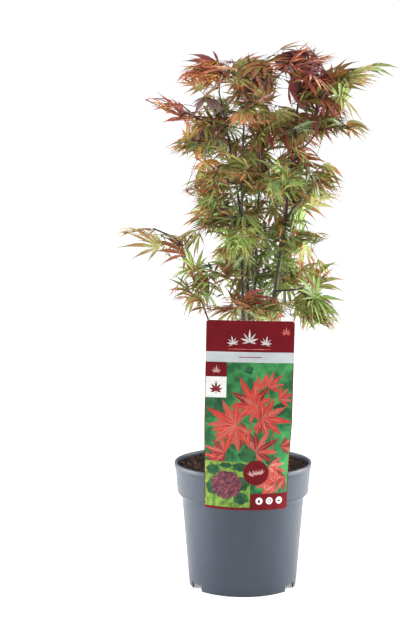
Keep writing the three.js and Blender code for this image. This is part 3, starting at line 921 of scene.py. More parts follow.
def tube(path, radii, sides, proud=0.0):
    """Points and faces of a tube along a line, with its ends drawn in to a point."""
    path = np.asarray(path, dtype=float)
    ahead = np.gradient(path, axis=0)
    ahead = ahead / np.linalg.norm(ahead, axis=1)[:, None]
    side = np.zeros_like(path)
    side[0] = unit(np.cross(ahead[0], (0.3, 0.9, 0.1)))
    for k in range(1, len(path)):
        side[k] = unit(side[k - 1] - ahead[k] * (side[k - 1] @ ahead[k]))
    up = np.cross(ahead, side)
    turns = np.arange(sides) * math.tau / sides
    ring = side[:, None] * np.cos(turns)[None, :, None] + up[:, None] * np.sin(turns)[None, :, None]
    out = np.broadcast_to(np.asarray(radii, dtype=float)[:, None] + proud, (len(path), sides))
    points = path[:, None] + ring * out[..., None]
    first = path[0] + (points[0] - path[0]) * 0.02
    last = path[-1] + (points[-1] - path[-1]) * 0.02
    points = np.concatenate([first[None], points, last[None]])
    return points.reshape(-1, 3), grid_faces(len(path) + 2, sides, close=True)


def bark_relief(limb, sides, seed, rough):
    """Relief of young bark: faint ribs along it, and a ring with two bud scars at each joint."""
    source = np.random.RandomState(seed)
    rows = len(limb["path"])
    length = limb["length"]
    along = np.linspace(0, length, rows)
    turns = np.arange(sides) * math.tau / sides
    proud = value_noise(rows, sides, max(3, int(length / 0.012)), 7, source) * rough
    proud = proud + value_noise(rows, sides, max(3, int(length / 0.004)), 11, source) * rough * 0.5
    for k, joint in enumerate(np.arange(0.018, length - 0.004, JOINT_SPACING)):
        joint = joint + source.uniform(-0.004, 0.004)
        ring = np.exp(-(((along - joint) / 0.0009) ** 2))
        scar = np.exp(-(((along - joint - 0.0006) / 0.0014) ** 2))
        heading = k * math.pi / 2 + source.uniform(-0.3, 0.3)
        both = np.exp(-((np.sin(turns - heading) / 0.4) ** 2))
        size = 0.05 + 0.06 * limb["radii"].mean() / 0.003
        proud = proud + 0.001 * size * (1.6 * ring[:, None] + 3.4 * scar[:, None] * both[None])
    return proud


def bark_material(name, dark, pale, scar, roughness, upper=None):
    """Young bark: streaks along the stem and small pale lenticels. Higher up it may turn to other colours."""
    material, shader = new_material(name, pale, roughness, 0.45)
    streaks = grain(material, object_place(material, (1, 1, 0.12)), 900, 6, 0.6)
    patches = grain(material, object_place(material), 45, 3)
    blend = add_node(material, "ShaderNodeMath", operation="MULTIPLY_ADD")
    join(material, streaks, blend.inputs[0])
    blend.inputs[1].default_value = 0.55
    join(material, levels(material, patches, 0.0, 0.5), blend.inputs[2])
    skin = ramp(material, blend.outputs[0], (0.34, dark), (0.66, pale))
    if upper:
        parts = add_node(material, "ShaderNodeSeparateXYZ")
        join(material, object_place(material), parts.inputs[0])
        rise = add_node(material, "ShaderNodeMapRange")
        rise.inputs["From Min"].default_value, rise.inputs["From Max"].default_value = TURNS_PLUM
        join(material, parts.outputs["Z"], rise.inputs["Value"])
        upper_skin = ramp(material, blend.outputs[0], (0.34, upper[0]), (0.66, upper[1]))
        skin = blended(material, rise.outputs["Result"], skin, upper_skin)
    spots = add_node(material, "ShaderNodeTexVoronoi", Scale=420.0)
    join(material, object_place(material, (1, 1, 0.45)), spots.inputs["Vector"])
    lenticel = ramp(material, spots.outputs["Distance"], (0.1, (1, 1, 1, 1)), (0.2, (0, 0, 0, 1)))
    join(material, blended(material, lenticel, skin, scar), shader.inputs["Base Color"])
    relief(material, shader, streaks, 0.0004, 0.5)
    return material


def blended(material, share, first, second):
    """A mix of two colours, each a node's output or a plain colour."""
    mix = add_node(material, "ShaderNodeMix", data_type="RGBA")
    factor, colour_a, colour_b = mix.inputs[0], mix.inputs[6], mix.inputs[7]
    join(material, share, factor)
    join(material, first, colour_a)
    if isinstance(second, tuple):
        colour_b.default_value = second
    else:
        join(material, second, colour_b)
    return mix.outputs[2]


PLUM_DARK, PLUM_PALE = srgb(30, 20, 20), srgb(66, 47, 41)
TURNS_PLUM = (0.43, 0.52)
plum_bark = bark_material("plum_bark", PLUM_DARK, PLUM_PALE, srgb(128, 102, 84), 0.6)
green_bark = bark_material("green_bark", srgb(48, 46, 32), srgb(88, 88, 60), srgb(128, 118, 90), 0.6,
                           (PLUM_DARK, PLUM_PALE))
trunk_bark = bark_material("trunk_bark", srgb(66, 54, 44), srgb(128, 110, 92), srgb(160, 144, 122), 0.85)


def trunk_shape():
    """The trunk's line and its uneven girth: buttresses at the foot, and the graft swelling."""
    trunk = limbs["trunk"]
    rows, sides = len(trunk["path"]), 40
    along = np.linspace(0, trunk["length"], rows)
    turns = np.arange(sides) * math.tau / sides
    ridges = 0.0016 * np.cos(3 * turns + 0.6) + 0.0012 * np.cos(5 * turns + 2)
    buttress = np.exp(-along / 0.011)[:, None] * ridges[None]
    swelling = 0.0014 + 0.0008 * np.cos(turns - 1.1)
    graft = np.exp(-(((along - 0.043) / 0.0065) ** 2))[:, None] * swelling[None]
    rough = value_noise(rows, sides, 14, 12, np.random.RandomState(5)) * 0.0003
    return tube(trunk["path"], trunk["radii"], sides, buttress + graft + rough)


fork = Heap()
fork.add(*trunk_shape())
for name in GROWS_FROM:
    if GROWS_FROM[name] == "trunk":
        limb = limbs[name]
        count = int(TRUNK_STUB / limb["pace"])
        taper = np.interp(np.arange(count) / count, (0, 0.35, 0.85, 1), (1.22, 1.1, 1.02, 0.72))
        fork.add(*tube(limb["path"][:count], limb["radii"][:count] * taper, 20))
trunk_piece = fork.piece("trunk_wood", [trunk_bark])
remesh = trunk_piece.modifiers.new("one_skin", "REMESH")
remesh.mode = "VOXEL"
remesh.voxel_size = 0.0007
remesh.use_smooth_shade = True
soften = trunk_piece.modifiers.new("soften", "SMOOTH")
soften.iterations = 5
soften.factor = 0.5
apply_modifiers(trunk_piece)
trunk_mesh = trunk_piece.data


def of_vertices(mesh, kind):
    values = np.zeros(len(mesh.vertices) * 3, np.float32)
    mesh.vertices.foreach_get(kind, values)
    return values.reshape(-1, 3)


trunk_points = of_vertices(trunk_mesh, "co")
normals = of_vertices(trunk_mesh, "normal")
trunk_foot = limbs["trunk"]["path"][0][2]
for k, (x, y, z) in enumerate(trunk_points):
    cracks = noise.noise(Vector((x * 520, y * 520, z * 130)))
    knots = noise.noise(Vector((x * 150, y * 150, z * 120)))
    fade = float(np.interp(z - trunk_foot, (0, 0.075, 0.12), (1, 0.8, 0)))
    trunk_points[k] += normals[k] * (cracks * 0.00028 + knots * 0.0003) * fade
trunk_points[:, 2] = np.maximum(trunk_points[:, 2], trunk_foot - 0.004)
trunk_mesh.vertices.foreach_set("co", trunk_points.ravel())
if not trunk_mesh.materials:
    trunk_mesh.materials.append(trunk_bark)
trunk_mesh.update()
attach(trunk_piece, "root")
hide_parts("trunk")

for k, (name, limb) in enumerate(limbs.items()):
    if name == "trunk":
        continue
    thick = limb["radii"].mean() > 0.0019
    sides = 18 if thick else 11
    green = name in ("leader_right", "leader_back")
    proud = bark_relief(limb, sides, 60 + k, 0.00009 if thick else 0.00005)
    skin = Heap()
    skin.add(*tube(limb["path"], limb["radii"], sides, proud))
    stem = skin.piece(name + "_wood", [green_bark if green else plum_bark])
    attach(stem, "root")
    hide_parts(name)

# ----------------------------------------------------------------------------------------------------- crown
# Thin twigs branch off the limbs and carry leaves on slender stalks, in pairs. A leaf is a fan of narrow,
# finely toothed lobes, folded along the midrib and drawn out to drooping threads. The crown is on the turn:
# red and plum at the top, rust and bronze in the middle, green and lime at the foot and on the right.
DOWN = np.array([0, 0, -1.0])
UP = -DOWN
CELL = 0.004
BRIDGED_GAP = 0.016
CROWN_AXIS = np.array([0.012, 0.0])
INNER_CROWN = 0.075
GAP_REACH = 0.085
LEVELLED = np.array([1, 1, 0.75])
CLOSING = 3
SLEEVE = 0.020
SLEEVE_SET = np.array([0, 0.014, 0])
SHOWN_WIDTH = 0.013
SHOWN_SHARE = 0.8
SPUR_LOWEST = 0.335
SPUR_HIGHEST = 0.650
SPUR_SPACING = 0.026
NODE_SPACING = 0.0228
NODE_DEPTH = 0.014
LEAF_LONGEST = (0.060, 0.074)
LEAF_SHORTEST = 0.026
TIP_SPACING = 0.0160
TIP_REACH = 0.066
TIP_SHORTEST = 0.034
TIP_FARTHEST = 0.09
TWIG_FARTHEST = 0.045
TWIG_RADIUS = 0.0008
TWIG_THINNEST = 0.00034
TWIG_TAPER = 0.82  # for each twig that it is away from a limb
TWIG_WANDER = 0.0010
NODE_SWELLING = 0.00012
STALK_SHARE = 0.26
STALK_LENGTHS = (0.006, 0.020)
STALK_RADII = (0.00048, 0.00034)
PAIR_SHORTEST = 0.032
SPUR_LONGEST = 0.035
STATIONS = 12
LOBE_TURNS = np.radians([0, 24, -24, 48, -48, 80, -80])
LOBE_LENGTHS = np.array([1, 0.93, 0.93, 0.76, 0.76, 0.46, 0.46])
LOBE_WIDTH = (0.118, 0.155)
LOBE_FOLD = 0.42
ACROSS = np.array([-1, -0.6, 0, 0, 0.6, 1])
leaf_random = np.random.RandomState(3)

LEAF_COLOURS = {
    "scarlet": (183, 98, 76),
    "crimson": (153, 76, 72),
    "coral": (214, 152, 124),
    "blush": (233, 200, 169),
    "plum": (117, 87, 89),
    "mauve": (162, 133, 133),
    "rust": (168, 112, 72),
    "amber": (212, 157, 80),
    "bronze": (134, 109, 64),
    "umber": (93, 71, 52),
    "gold": (176, 170, 94),
    "olive": (138, 139, 77),
    "moss": (113, 129, 70),
    "fern": (145, 169, 93),
    "lime": (160, 174, 104),
    "sage": (160, 178, 134),
    "silver": (198, 209, 184),
    "straw": (206, 201, 146),
    "tan": (199, 172, 133),
}
LEAF_KINDS = {  # the colours of a leaf's middle, its margins and its tips
    "flame": ("gold", "scarlet", "plum"),
    "coral": ("coral", "scarlet", "mauve"),
    "wine": ("crimson", "plum", "plum"),
    "mauve": ("mauve", "plum", "plum"),
    "rose": ("blush", "coral", "mauve"),
    "rust": ("olive", "rust", "umber"),
    "copper": ("amber", "rust", "plum"),
    "bronze": ("bronze", "rust", "umber"),
    "ember": ("rust", "crimson", "umber"),
    "olive": ("olive", "bronze", "umber"),
    "moss": ("moss", "moss", "bronze"),
    "fern": ("fern", "moss", "tan"),
    "turning": ("fern", "rust", "plum"),
    "lime": ("lime", "fern", "tan"),
    "gilt": ("lime", "gold", "rust"),
    "straw": ("straw", "tan", "mauve"),
    "sage": ("sage", "fern", "tan"),
    "silver": ("silver", "sage", "tan"),
}
MASS_MOODS = {
    "top_left": "flame coral rose coral copper turning flame",
    "top_centre": "wine ember rust mauve rose turning flame",
    "crest": "wine mauve coral rose copper flame",
    "arm_left": "coral rose coral mauve flame",
    "back_top": "flame wine ember rust turning",
    "top_right": "ember bronze wine rust olive turning moss",
    "purple_left": "mauve mauve mauve rust turning",
    "upper_left": "rust flame turning copper silver turning",
    "shoulder_left": "rust bronze turning silver olive fern",
    "core_upper": "olive rust ember bronze turning fern moss",
    "left": "rust copper olive turning ember fern",
    "rust_right": "bronze rust ember olive silver turning",
    "waist_left": "olive rust bronze fern turning",
    "back_shoulder": "rust turning ember olive fern",
    "back_left": "rust olive bronze turning fern",
    "back": "olive bronze rust turning moss",
    "front_top": "olive turning rust wine fern",
    "front_left": "turning rust ember moss fern",
    "core": "olive fern bronze sage turning rust lime gilt",
    "waist_right": "turning fern rust lime sage",
    "waist": "fern sage rust olive lime gilt",
    "low_left_arm": "olive fern rust straw lime",
    "low_left": "fern lime turning olive ember",
    "low_core": "moss olive rust fern lime sage gilt",
    "foot_left": "turning fern bronze sage",
    "foot": "fern lime rust turning sage ember",
    "back_right": "fern turning olive",
    "back_waist": "lime olive turning fern",
    "back_low": "sage fern olive rust lime",
    "back_foot": "fern lime turning",
    "front_right": "fern lime turning sage",
    "front_low": "lime fern rust turning",
    "arm_right": "sage fern copper straw olive",
    "shoulder_right": "olive fern copper sage silver",
    "right": "fern fern olive turning sage",
    "low_left_tip": "olive turning gilt straw",
    "low_right": "sage lime silver turning",
    "foot_right": "lime gilt fern turning straw",
}
leaf_materials = []
for name, colour in LEAF_COLOURS.items():
    material, shader = new_material("leaf_" + name, srgb(*colour), 0.6, 0.22)
    leaf_materials.append(material)
colour_index = {name: k for k, name in enumerate(LEAF_COLOURS)}

masses = {}
for name in frame["nodes"]:
    if name.startswith("foliage_"):
        points = node_points(name)
        tree = solid_tree(points, node_faces(name))
        masses[name] = {"points": points, "tree": tree, "centre": points.mean(0)}
crown_low = np.min([mass["points"].min(0) for mass in masses.values()], axis=0) - 3 * CELL
crown_high = np.max([mass["points"].max(0) for mass in masses.values()], axis=0) + 3 * CELL
filled = np.zeros(np.ceil((crown_high - crown_low) / CELL).astype(int) + 1, bool)


def cell_of(points):
    return np.floor((np.asarray(points) - crown_low) / CELL).astype(int)


def fill_cells(mass):
    """Marks the cells of the crown that lie inside a mass."""
    low, high = cell_of(mass["points"].min(0)), cell_of(mass["points"].max(0))
    for i in range(low[0], high[0] + 1):
        for j in range(low[1], high[1] + 1):
            here = Vector((*(crown_low[:2] + (np.array((i, j)) + 0.5) * CELL), crown_low[2]))
            rises = []
            while True:
                spot = mass["tree"].ray_cast(here, Vector(UP), 2)[0]
                if spot is None:
                    break
                rises.append(spot.z)
                here = Vector((here.x, here.y, spot.z + 0.00001))
            for enter, leave in zip(rises[::2], rises[1::2]):
                filled[i, j, cell_of((0, 0, enter))[2] : cell_of((0, 0, leave))[2] + 1] = True


for mass in masses.values():
    fill_cells(mass)
in_mass = filled.copy()
sleeve_steps = np.argwhere(np.ones((15, 15, 15), bool)) - 7
sleeve_steps = sleeve_steps[np.linalg.norm(sleeve_steps * CELL, axis=1) < SLEEVE]
leaders = [limb for name, limb in limbs.items() if name.startswith("leader")]
for limb in leaders:
    for point in limb["path"][::3]:
        if crown_low[2] + SLEEVE + CELL < point[2] < SPUR_HIGHEST:
            filled[tuple((cell_of(point + SLEEVE_SET) + sleeve_steps).T)] = True
LOOKS = np.arange(0.004, 0.1, 0.003)


def room(point, ways):
    """How far the crown reaches from a point in each direction, looking over narrow gaps in it."""
    spots = point + np.asarray(ways)[:, None] * LOOKS[:, None]
    cells = np.clip(cell_of(spots), 0, np.array(filled.shape) - 1)
    inside = filled[cells[..., 0], cells[..., 1], cells[..., 2]]
    reaches = []
    for row in inside:
        reach = 0.0
        for look, hit in zip(LOOKS, row):
            if hit:
                reach = look
            elif look - reach > BRIDGED_GAP:
                break
        reaches.append(reach)
    return np.array(reaches)


lobe_shares = np.linspace(0, 1, STATIONS)
lobe_halves = np.interp(lobe_shares, (0, 0.08, 0.24, 0.4, 0.56, 0.71, 0.85, 1),
                        (0.24, 0.36, 0.76, 1, 0.86, 0.4, 0.13, 0.03))
lobe_halves = lobe_halves * (1 + 0.06 * (-1.0) ** np.arange(STATIONS))
lobe_faces = []
for station in range(STATIONS - 1):
    for column in (0, 1, 3, 4):
        here = station * len(ACROSS) + column
        lobe_faces.append((here, here + 1, here + len(ACROSS) + 1, here + len(ACROSS)))
lobe_faces = np.array(lobe_faces)
face_shares = np.repeat((lobe_shares[:-1] + lobe_shares[1:]) / 2, 4)
face_edges = np.tile([True, False, False, True], STATIONS - 1)


def normed(vectors):
    return vectors / np.maximum(1e-12, np.linalg.norm(vectors, axis=-1, keepdims=True))


def lobe_lines(base, starts, lengths, droops, curls, side):
    """The midrib of each lobe: it starts out straight, sinks under its weight and curls a little."""
    weight = lobe_shares[None, :, None] ** 1.3
    ahead = starts[:, None] + weight * (droops[:, None, None] * DOWN + curls[:, None, None] * side)
    ahead = normed(ahead)
    steps = ahead[:, :-1] * (lengths / (STATIONS - 1))[:, None, None]
    line = np.concatenate([np.zeros((len(starts), 1, 3)), np.cumsum(steps, axis=1)], axis=1)
    return base + line, ahead


def leaf(mass, base, way, up, length, droop, kind, lobes, target):
    """Adds one leaf from its base, its middle lobe ending on any target. Returns its lobes' ends."""
    turns = LOBE_TURNS[:lobes] + leaf_random.normal(0, 0.07, lobes)
    lengths = length * LOBE_LENGTHS[:lobes] * leaf_random.uniform(0.88, 1.06, lobes)
    cup = 0.2 * np.abs(turns)[:, None]
    droops = droop * leaf_random.uniform(0.6, 1.4, lobes)
    curls = leaf_random.normal(0, 0.24, lobes) - 0.15 * np.sin(turns)
    way = unit(way)
    for _ in range(1 if target is None else 4):
        side = unit(np.cross(way, up))
        over = np.cross(side, way)
        starts = normed(way * np.cos(turns)[:, None] + side * np.sin(turns)[:, None] - over * cup)
        line, ahead = lobe_lines(base, starts, lengths, droops, curls, side)
        if target is not None:
            way = unit(way + (target - line[0, -1]) / length)
    across = normed(np.cross(ahead, over))
    above = np.cross(across, ahead)
    halves = lengths[:, None] * mass["lobe_width"] / 2 * leaf_random.uniform(0.8, 1.2, (lobes, 1))
    halves = halves * lobe_halves
    points = line[:, :, None] + across[:, :, None] * (halves[..., None] * ACROSS)[..., None]
    points = points + above[:, :, None] * (halves[..., None] * LOBE_FOLD * np.abs(ACROSS))[..., None]
    middle, margin, tip = (colour_index[name] for name in LEAF_KINDS[kind])
    spread = leaf_random.uniform(0.35, 0.85)
    kinds = np.where((face_shares < spread) & ~face_edges | (face_shares < 0.1), middle, margin)
    kinds = np.where(face_shares > leaf_random.uniform(0.78, 0.92), tip, kinds)
    faces = lobe_faces[None] + (np.arange(lobes) * STATIONS * len(ACROSS))[:, None, None]
    mass["heap"].add(points.reshape(-1, 3), faces.reshape(-1, 4), np.tile(kinds, lobes))
    return line[:, -1]


def bent(start, way, end, count):
    """A line that leaves start along way and arrives at end."""
    way = unit(way)
    control = np.asarray(start) + way * np.linalg.norm(np.asarray(end) - start) * 0.5
    share = np.linspace(0, 1, count)[:, None]
    return (1 - share) ** 2 * start + 2 * share * (1 - share) * control + share**2 * end


stalks = Heap()
twigs = Heap()
leaf_heaps = {}
slots = {item["node"]: item["material_slot"] for item in frame["record"]["subparts"]}


def heap_of(name):
    parts = [slots[name].removesuffix("_leaves")]
    parts += [part for part in ("back", "front") if "_" + part in name]
    parts.append("upper" if masses[name]["centre"][2] > (crown_low[2] + crown_high[2]) / 2 else "lower")
    group = "_".join(parts)
    return leaf_heaps.setdefault(group, {"heap": Heap(), "masses": [], "slot": slots[name]})


def tilted_up(way):
    """A leaf lies roughly level with its face to the sky, and no two lie quite alike."""
    up = UP + leaf_random.normal(0, 0.36, 3)
    return up if abs(unit(up) @ unit(way)) < 0.94 else up + np.array([0.7, -0.7, 0])


def stalked_leaf(mass, node, way, reach, target=None):
    """A leaf on its stalk from a node of a twig. It fills the reach, or ends on the target."""
    stalk_length = float(np.clip(reach * STALK_SHARE, *STALK_LENGTHS))
    longest = mass["longest"] * leaf_random.uniform(0.85, 1)
    length = float(np.clip(reach - stalk_length, LEAF_SHORTEST, longest))
    droop = mass["droop"] * leaf_random.uniform(0.7, 1.3)
    aim = unit(unit(way) - DOWN * droop * 0.22)
    base = node + aim * stalk_length - DOWN * 0.002
    if target is not None:
        aim = unit(target - base)
        length = np.linalg.norm(target - base) * (1.02 + 0.06 * droop)
        length = float(np.clip(length, LEAF_SHORTEST, 1.15 * mass["longest"]))
    stalk_line = bent(node, unit(way) - DOWN * 0.3, base, 6)
    stalks.add(*tube(stalk_line, np.linspace(*STALK_RADII, 6), 5), mass["stalk"])
    kind = mass["kinds"][leaf_random.randint(len(mass["kinds"]))]
    lobes = 7 if leaf_random.rand() < (0.7 if length > 0.045 else 0.3) else 5
    tips = leaf(mass, base, aim, tilted_up(aim), length, droop, kind, lobes, target)
    mass["tips"].append(tips[:5])


def roomiest(node, way, wander, wanted, tries):
    """Of some directions near a way, the one whose room is the nearest to what is wanted."""
    ways = normed((way + leaf_random.normal(0, wander, (tries, 3))) * LEVELLED)
    ways[0] = unit(way)
    reaches = room(node, ways)
    best = int(np.abs(np.minimum(reaches, wanted * 1.15) - wanted).argmin())
    return ways[best], reaches[best]


def outward(point):
    """The level way out of the crown from its axis: one long at its outside, nothing at its middle."""
    out = np.array([*(point[:2] - CROWN_AXIS), 0])
    return out / max(INNER_CROWN, np.linalg.norm(out))


def before_leader(point):
    """Whether a place is right in front of an upright leader, which shows through the crown's open face."""
    for limb in leaders:
        level = limb["path"][int(np.abs(limb["path"][:, 2] - point[2]).argmin())]
        beside = abs(point[0] - level[0]) < SHOWN_WIDTH and abs(point[2] - level[2]) < 0.01
        if point[1] < level[1] and beside:
            return True
    return False


def leaf_pair(mass, node, way, side):
    """Two leaves on opposite sides of a node, each turned to where there is room for it."""
    for hand in (-1, 1):
        wanted = mass["longest"] * leaf_random.uniform(0.9, 1.3)
        out, reach = roomiest(node, unit(way) * 0.4 + side * hand * 0.8 + outward(node), 0.7, wanted, 14)
        reach = min(reach + 0.006, wanted)
        hiding = before_leader(node + out * reach * 0.45) or before_leader(node + out * reach * 0.8)
        if reach > PAIR_SHORTEST and not (hiding and leaf_random.rand() < SHOWN_SHARE):
            stalked_leaf(mass, node, out, reach)


def swung(side, ahead, turn):
    """A direction across a twig, turned about it."""
    return side * math.cos(turn) + np.cross(ahead, side) * math.sin(turn)


def nearest_mass(spot):
    return mass_list[int(np.linalg.norm(mass_centres - spot, axis=1).argmin())]


def crossing(way):
    """A direction across a twig, level where the twig isn't upright."""
    flat = np.cross(way, UP)
    return unit(flat if np.linalg.norm(flat) > 0.3 else np.cross(way, (0.9, 0.4, 0.1)))


def twig(mass, start, way, end, order):
    """A twig from a node or a limb to its own node, slightly swollen there. Returns its last heading."""
    length = float(np.linalg.norm(np.asarray(end) - start))
    count = max(6, int(length / 0.0025))
    path = bent(start, way, end, count)
    path[1:-1] += smoothed(leaf_random.normal(0, TWIG_WANDER, (count - 2, 3)), 4)
    thick = max(TWIG_THINNEST, TWIG_RADIUS * TWIG_TAPER**order)
    radii = np.linspace(thick, thick * 0.86, count)
    radii[-3:] += NODE_SWELLING
    twigs.add(*tube(path, radii, 7))
    return unit(path[-1] - path[-3])


def inner_nodes(mass):
    """Places for nodes, evenly spaced through the deeper part of a mass."""
    low, high = mass["points"].min(0), mass["points"].max(0)
    spots = leaf_random.uniform(low, high, (2600, 3))
    cells = cell_of(spots)
    spots = spots[filled[cells[:, 0], cells[:, 1], cells[:, 2]]]
    depths = []
    for spot in spots:
        place, normal, _, depth = mass["tree"].find_nearest(Vector(spot))
        depths.append(depth if (place - Vector(spot)).dot(normal) > 0 else 0.0)
    depths = np.array(depths)
    spots = spots[depths > min(NODE_DEPTH, 0.5 * depths.max())]
    mass["girth"] = depths.max()
    kept = []
    for spot in spots:
        if not kept or np.linalg.norm(np.array(kept) - spot, axis=1).min() > NODE_SPACING:
            kept.append(spot)
    return kept


def limb_points(mass):
    """The points of limbs that a mass may grow from: those inside it, or else the nearest ones."""
    points, ways, gaps = [], [], []
    for limb in limbs.values():
        for k in range(6, len(limb["path"]), 5):
            point = limb["path"][k]
            gap = mass["tree"].find_nearest(Vector(point))[3] - limb["radii"][k]
            points.append(point)
            ways.append(unit(limb["path"][k] - limb["path"][k - 4]))
            gaps.append(gap)
    gaps = np.array(gaps)
    near = np.flatnonzero(gaps < max(0.0015, gaps.min() + 0.001))
    return [points[k] for k in near], [ways[k] for k in near]


def grow(mass):
    """Twigs reach node after node of a mass, always from the nearest one."""
    joined, ways = limb_points(mass)
    orders = [0] * len(joined)
    waiting = inner_nodes(mass)
    while waiting:
        gaps = np.linalg.norm(np.array(waiting)[:, None] - np.array(joined)[None], axis=2)
        gaps = gaps + 0.004 * np.array(orders)[None]
        pick, parent = np.unravel_index(gaps.argmin(), gaps.shape)
        spot = waiting.pop(pick)
        start, way = joined[parent], ways[parent]
        ahead = twig(mass, start, unit(spot - start) + 0.45 * way, spot, orders[parent])
        joined.append(spot)
        ways.append(ahead)
        orders.append(orders[parent] + 1)
        mass["nodes"].append((spot, ahead))


def reach_outline(mass):
    """Leaves for each corner of the mass at the outside of the crown, so that their tips make its outline."""
    for k in leaf_random.permutation(len(mass["points"])):
        target = mass["points"][k]
        out = unit(target - mass["centre"])
        if room(target + out * 0.002, [out])[0] > 0.02:
            continue
        tips = np.concatenate(mass["tips"]) if mass["tips"] else np.zeros((1, 3))
        if np.linalg.norm(tips - target, axis=1).min() < TIP_SPACING * mass["airy"]:
            continue
        gaps = np.linalg.norm(node_spots - target, axis=1)
        heads = (target - node_spots) @ out / np.maximum(gaps, 0.001)
        worth = np.abs(gaps - TIP_REACH) + 0.03 * (1 - heads)
        best = int(worth.argmin())
        reach = gaps[best]
        if TIP_SHORTEST < reach < TIP_FARTHEST:
            stalked_leaf(mass, node_spots[best], target - node_spots[best], reach, target)


for name, mass in masses.items():
    short = name.removeprefix("foliage_")
    group = heap_of(name)
    group["masses"].append(name)
    height = (mass["centre"][2] - crown_low[2]) / (crown_high[2] - crown_low[2])
    mass.update(heap=group["heap"], tips=[], nodes=[], kinds=MASS_MOODS[short].split())
    right_by = max(0, mass["centre"][0] - 0.08)
    mass["droop"] = float(np.interp(height, (0, 0.5, 1), (0.75, 0.6, 0.18)) + 2.5 * right_by)
    mass["longest"] = float(np.interp(height, (0.45, 0.9), LEAF_LONGEST))
    mass["lobe_width"] = float(np.interp(height, (0.45, 0.9), LOBE_WIDTH))
    aside = abs(mass["centre"][0] - CROWN_AXIS[0])
    mass["airy"] = 0.85 if height > 0.85 else float(np.interp(aside, (0.06, 0.095), (1, 1.25)))
    mass["stalk"] = 0 if slots[name] in ("red_leaves", "rust_leaves") else 1
    grow(mass)


def shifted(cells, reach, grown):
    """The cells grown, or shrunk, by a ball of that many cells."""
    made = cells.copy()
    steps = range(-reach, reach + 1)
    for i in steps:
        for j in steps:
            for k in steps:
                if 0 < i * i + j * j + k * k <= reach * reach + 1:
                    moved = np.roll(cells, (i, j, k), (0, 1, 2))
                    made = made | moved if grown else made & moved
    return made


# Some twigs also stand in the narrow gaps between the masses, near the middle of the crown. Then the leaves
# come: first the ones that make the crown's outline, then pairs inside it.
between = shifted(shifted(filled, CLOSING, True), CLOSING, False) & ~in_mass
mass_centres = np.array([mass["centre"] for mass in masses.values()])
mass_list = list(masses.values())
gap_cells = np.argwhere(between)
gap_spots = crown_low + (gap_cells + 0.5) * CELL
gap_spots = gap_spots[np.hypot(*(gap_spots[:, :2] - CROWN_AXIS).T) < GAP_REACH]
node_spots = [spot for mass in mass_list for spot, ahead in mass["nodes"]]
for k in leaf_random.permutation(len(gap_spots)):
    spot = gap_spots[k]
    gaps = np.linalg.norm(np.array(node_spots) - spot, axis=1)
    nearest = int(gaps.argmin())
    if NODE_SPACING < gaps[nearest] < TWIG_FARTHEST:
        mass = nearest_mass(spot)
        ahead = twig(mass, node_spots[nearest], unit(spot - node_spots[nearest]) + 0.4 * UP, spot, 3)
        mass["nodes"].append((spot, ahead))
        node_spots.append(spot)
node_spots = np.array(node_spots)
for mass in masses.values():
    reach_outline(mass)
for mass in masses.values():
    out_by = float(np.hypot(*(mass["centre"][:2] - CROWN_AXIS)))
    first = float(np.interp(mass["girth"], (0.012, 0.018, 0.024), (0.15, 0.7, 1)))
    second = float(np.interp(mass["girth"], (0.017, 0.026), (0, 1)))
    if out_by < INNER_CROWN:
        first, second = 0.85, 0.0
    elif mass["airy"] > 1.2:
        first, second = 0.5 * first, 0.0
    for spot, ahead in mass["nodes"]:
        side = swung(crossing(ahead), ahead, leaf_random.uniform(0, math.tau))
        if leaf_random.rand() < first:
            leaf_pair(mass, spot, ahead, side)
        if leaf_random.rand() < second:
            leaf_pair(mass, spot - ahead * 0.004, ahead, np.cross(ahead, side))

# Spurs that carry a pair of leaves stand on the upright leaders, also between the masses.
for limb in leaders:
    for k, place in enumerate(np.arange(20, len(limb["path"]) - 14, int(SPUR_SPACING / limb["pace"]))):
        foot = limb["path"][place]
        if not SPUR_LOWEST < foot[2] < SPUR_HIGHEST:
            continue
        mass = nearest_mass(foot)
        ahead = unit(limb["path"][place + 4] - limb["path"][place - 4])
        side = swung(crossing(ahead), ahead, k * math.pi / 2 + leaf_random.normal(0, 0.5))
        for hand in (-1, 1):
            if leaf_random.rand() < 0.25:
                continue
            out, reach = roomiest(foot, side * hand + ahead * 0.4, 0.35, 0.09, 7)
            if reach < 0.03:
                continue
            end = foot + out * min(max(reach - 0.055, 0.008), SPUR_LONGEST)
            grown = twig(mass, foot + out * limb["radii"][place] * 0.5, out + ahead, end, 2)
            leaf_pair(mass, end, grown, crossing(grown))

for group, stock in leaf_heaps.items():
    leaves = stock["heap"].piece(group + "_foliage", leaf_materials)
    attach(leaves, "root")
    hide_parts(*stock["masses"])
twig_piece = twigs.piece("twigs", [plum_bark, green_bark])
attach(twig_piece, "root")
stalk_materials = []
for name, colour in (("stalk_red", (134, 62, 54)), ("stalk_green", (124, 112, 64))):
    material, shader = new_material(name, srgb(*colour), 0.5, 0.4)
    stalk_materials.append(material)
stalk_piece = stalks.piece("leaf_stalks", stalk_materials)
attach(stalk_piece, "root")

# ----------------------------------------------------------------------------------------------------- stage
# The plant stands on a plain white floor before a plain white backdrop, in soft studio light from both sides
# and above. The floor glows a little, so that it stays white where the lamps don't reach.
FLOOR_REACH = 60.0
FLOOR_LEVEL = -0.0005
floor_corners = ((-1, -1), (1, -1), (1, 1), (-1, 1))
floor_points = [(x * FLOOR_REACH, y * FLOOR_REACH, FLOOR_LEVEL) for x, y in floor_corners]
floor_white, floor_shader = new_material("floor_white", srgb(250, 250, 250), 0.9, 0.1)
floor_shader.inputs["Emission Color"].default_value = (1, 1, 1, 1)
floor_shader.inputs["Emission Strength"].default_value = 0.34
floor = new_piece("floor", floor_points, [(0, 1, 2, 3)], [floor_white], smooth=False)

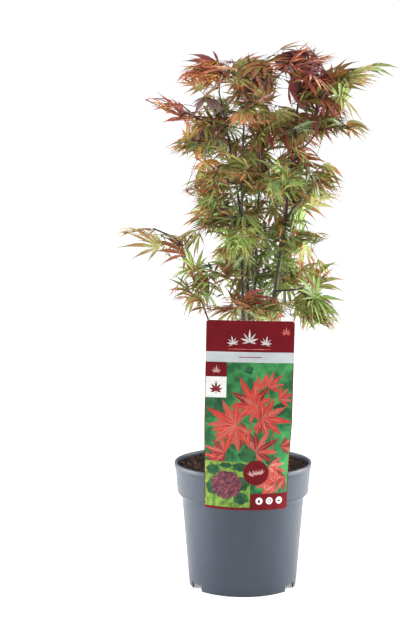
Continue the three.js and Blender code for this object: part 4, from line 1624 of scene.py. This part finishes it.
world = bpy.data.worlds.new("studio")
world.use_nodes = True
world_nodes, world_links = world.node_tree.nodes, world.node_tree.links
world_nodes["Background"].inputs["Color"].default_value = (1, 1, 1, 1)
world_place = world_nodes.new("ShaderNodeTexCoord")
world_parts = world_nodes.new("ShaderNodeSeparateXYZ")
world_links.new(world_place.outputs["Generated"], world_parts.inputs[0])
world_level = world_nodes.new("ShaderNodeMapRange")
world_band = world_nodes.new("ShaderNodeMapRange")
for node, axis, limits in (
    (world_level, "Y", (-0.9, 0.5, 0.28, 1.04)),
    (world_band, "Z", (0.12, 0.22, 1.04, 0.0)),
):
    for limit, value in zip(("From Min", "From Max", "To Min", "To Max"), limits):
        node.inputs[limit].default_value = value
    world_links.new(world_parts.outputs[axis], node.inputs["Value"])
world_most = world_nodes.new("ShaderNodeMath")
world_most.operation = "MAXIMUM"
world_links.new(world_level.outputs["Result"], world_most.inputs[0])
world_links.new(world_band.outputs["Result"], world_most.inputs[1])
world_links.new(world_most.outputs["Value"], world_nodes["Background"].inputs["Strength"])
bpy.context.scene.world = world

for name, place, target, size, power in (
    ("light_left", (-1.5, 0.15, 0.42), (0, 0, 0.2), (1.2, 1.1), 56),
    ("light_right", (1.5, 0.15, 0.42), (0, 0, 0.2), (1.2, 1.1), 60),
    ("light_above", (-0.3, -1.0, 2.0), (0, 0, 0.5), (1.2, 1.2), 10),
):
    lamp = bpy.data.lights.new(name, "AREA")
    lamp.shape = "RECTANGLE"
    lamp.size, lamp.size_y = size
    lamp.energy = power
    lamp_object = bpy.data.objects.new(name, lamp)
    lamp_object.location = place
    lamp_object.rotation_euler = (Vector(target) - Vector(place)).to_track_quat("-Z", "Y").to_euler()
    bpy.context.scene.collection.objects.link(lamp_object)

view = bpy.data.cameras.new("camera")
view.lens = 108.73
view.sensor_width = 36
camera = bpy.data.objects.new("camera", view)
camera.location = (-0.0594, -2.6, 0.7242)
camera.rotation_euler = (math.radians(82.326), 0, 0)
bpy.context.scene.collection.objects.link(camera)
bpy.context.scene.camera = camera
bpy.context.scene.view_settings.view_transform = "Standard"
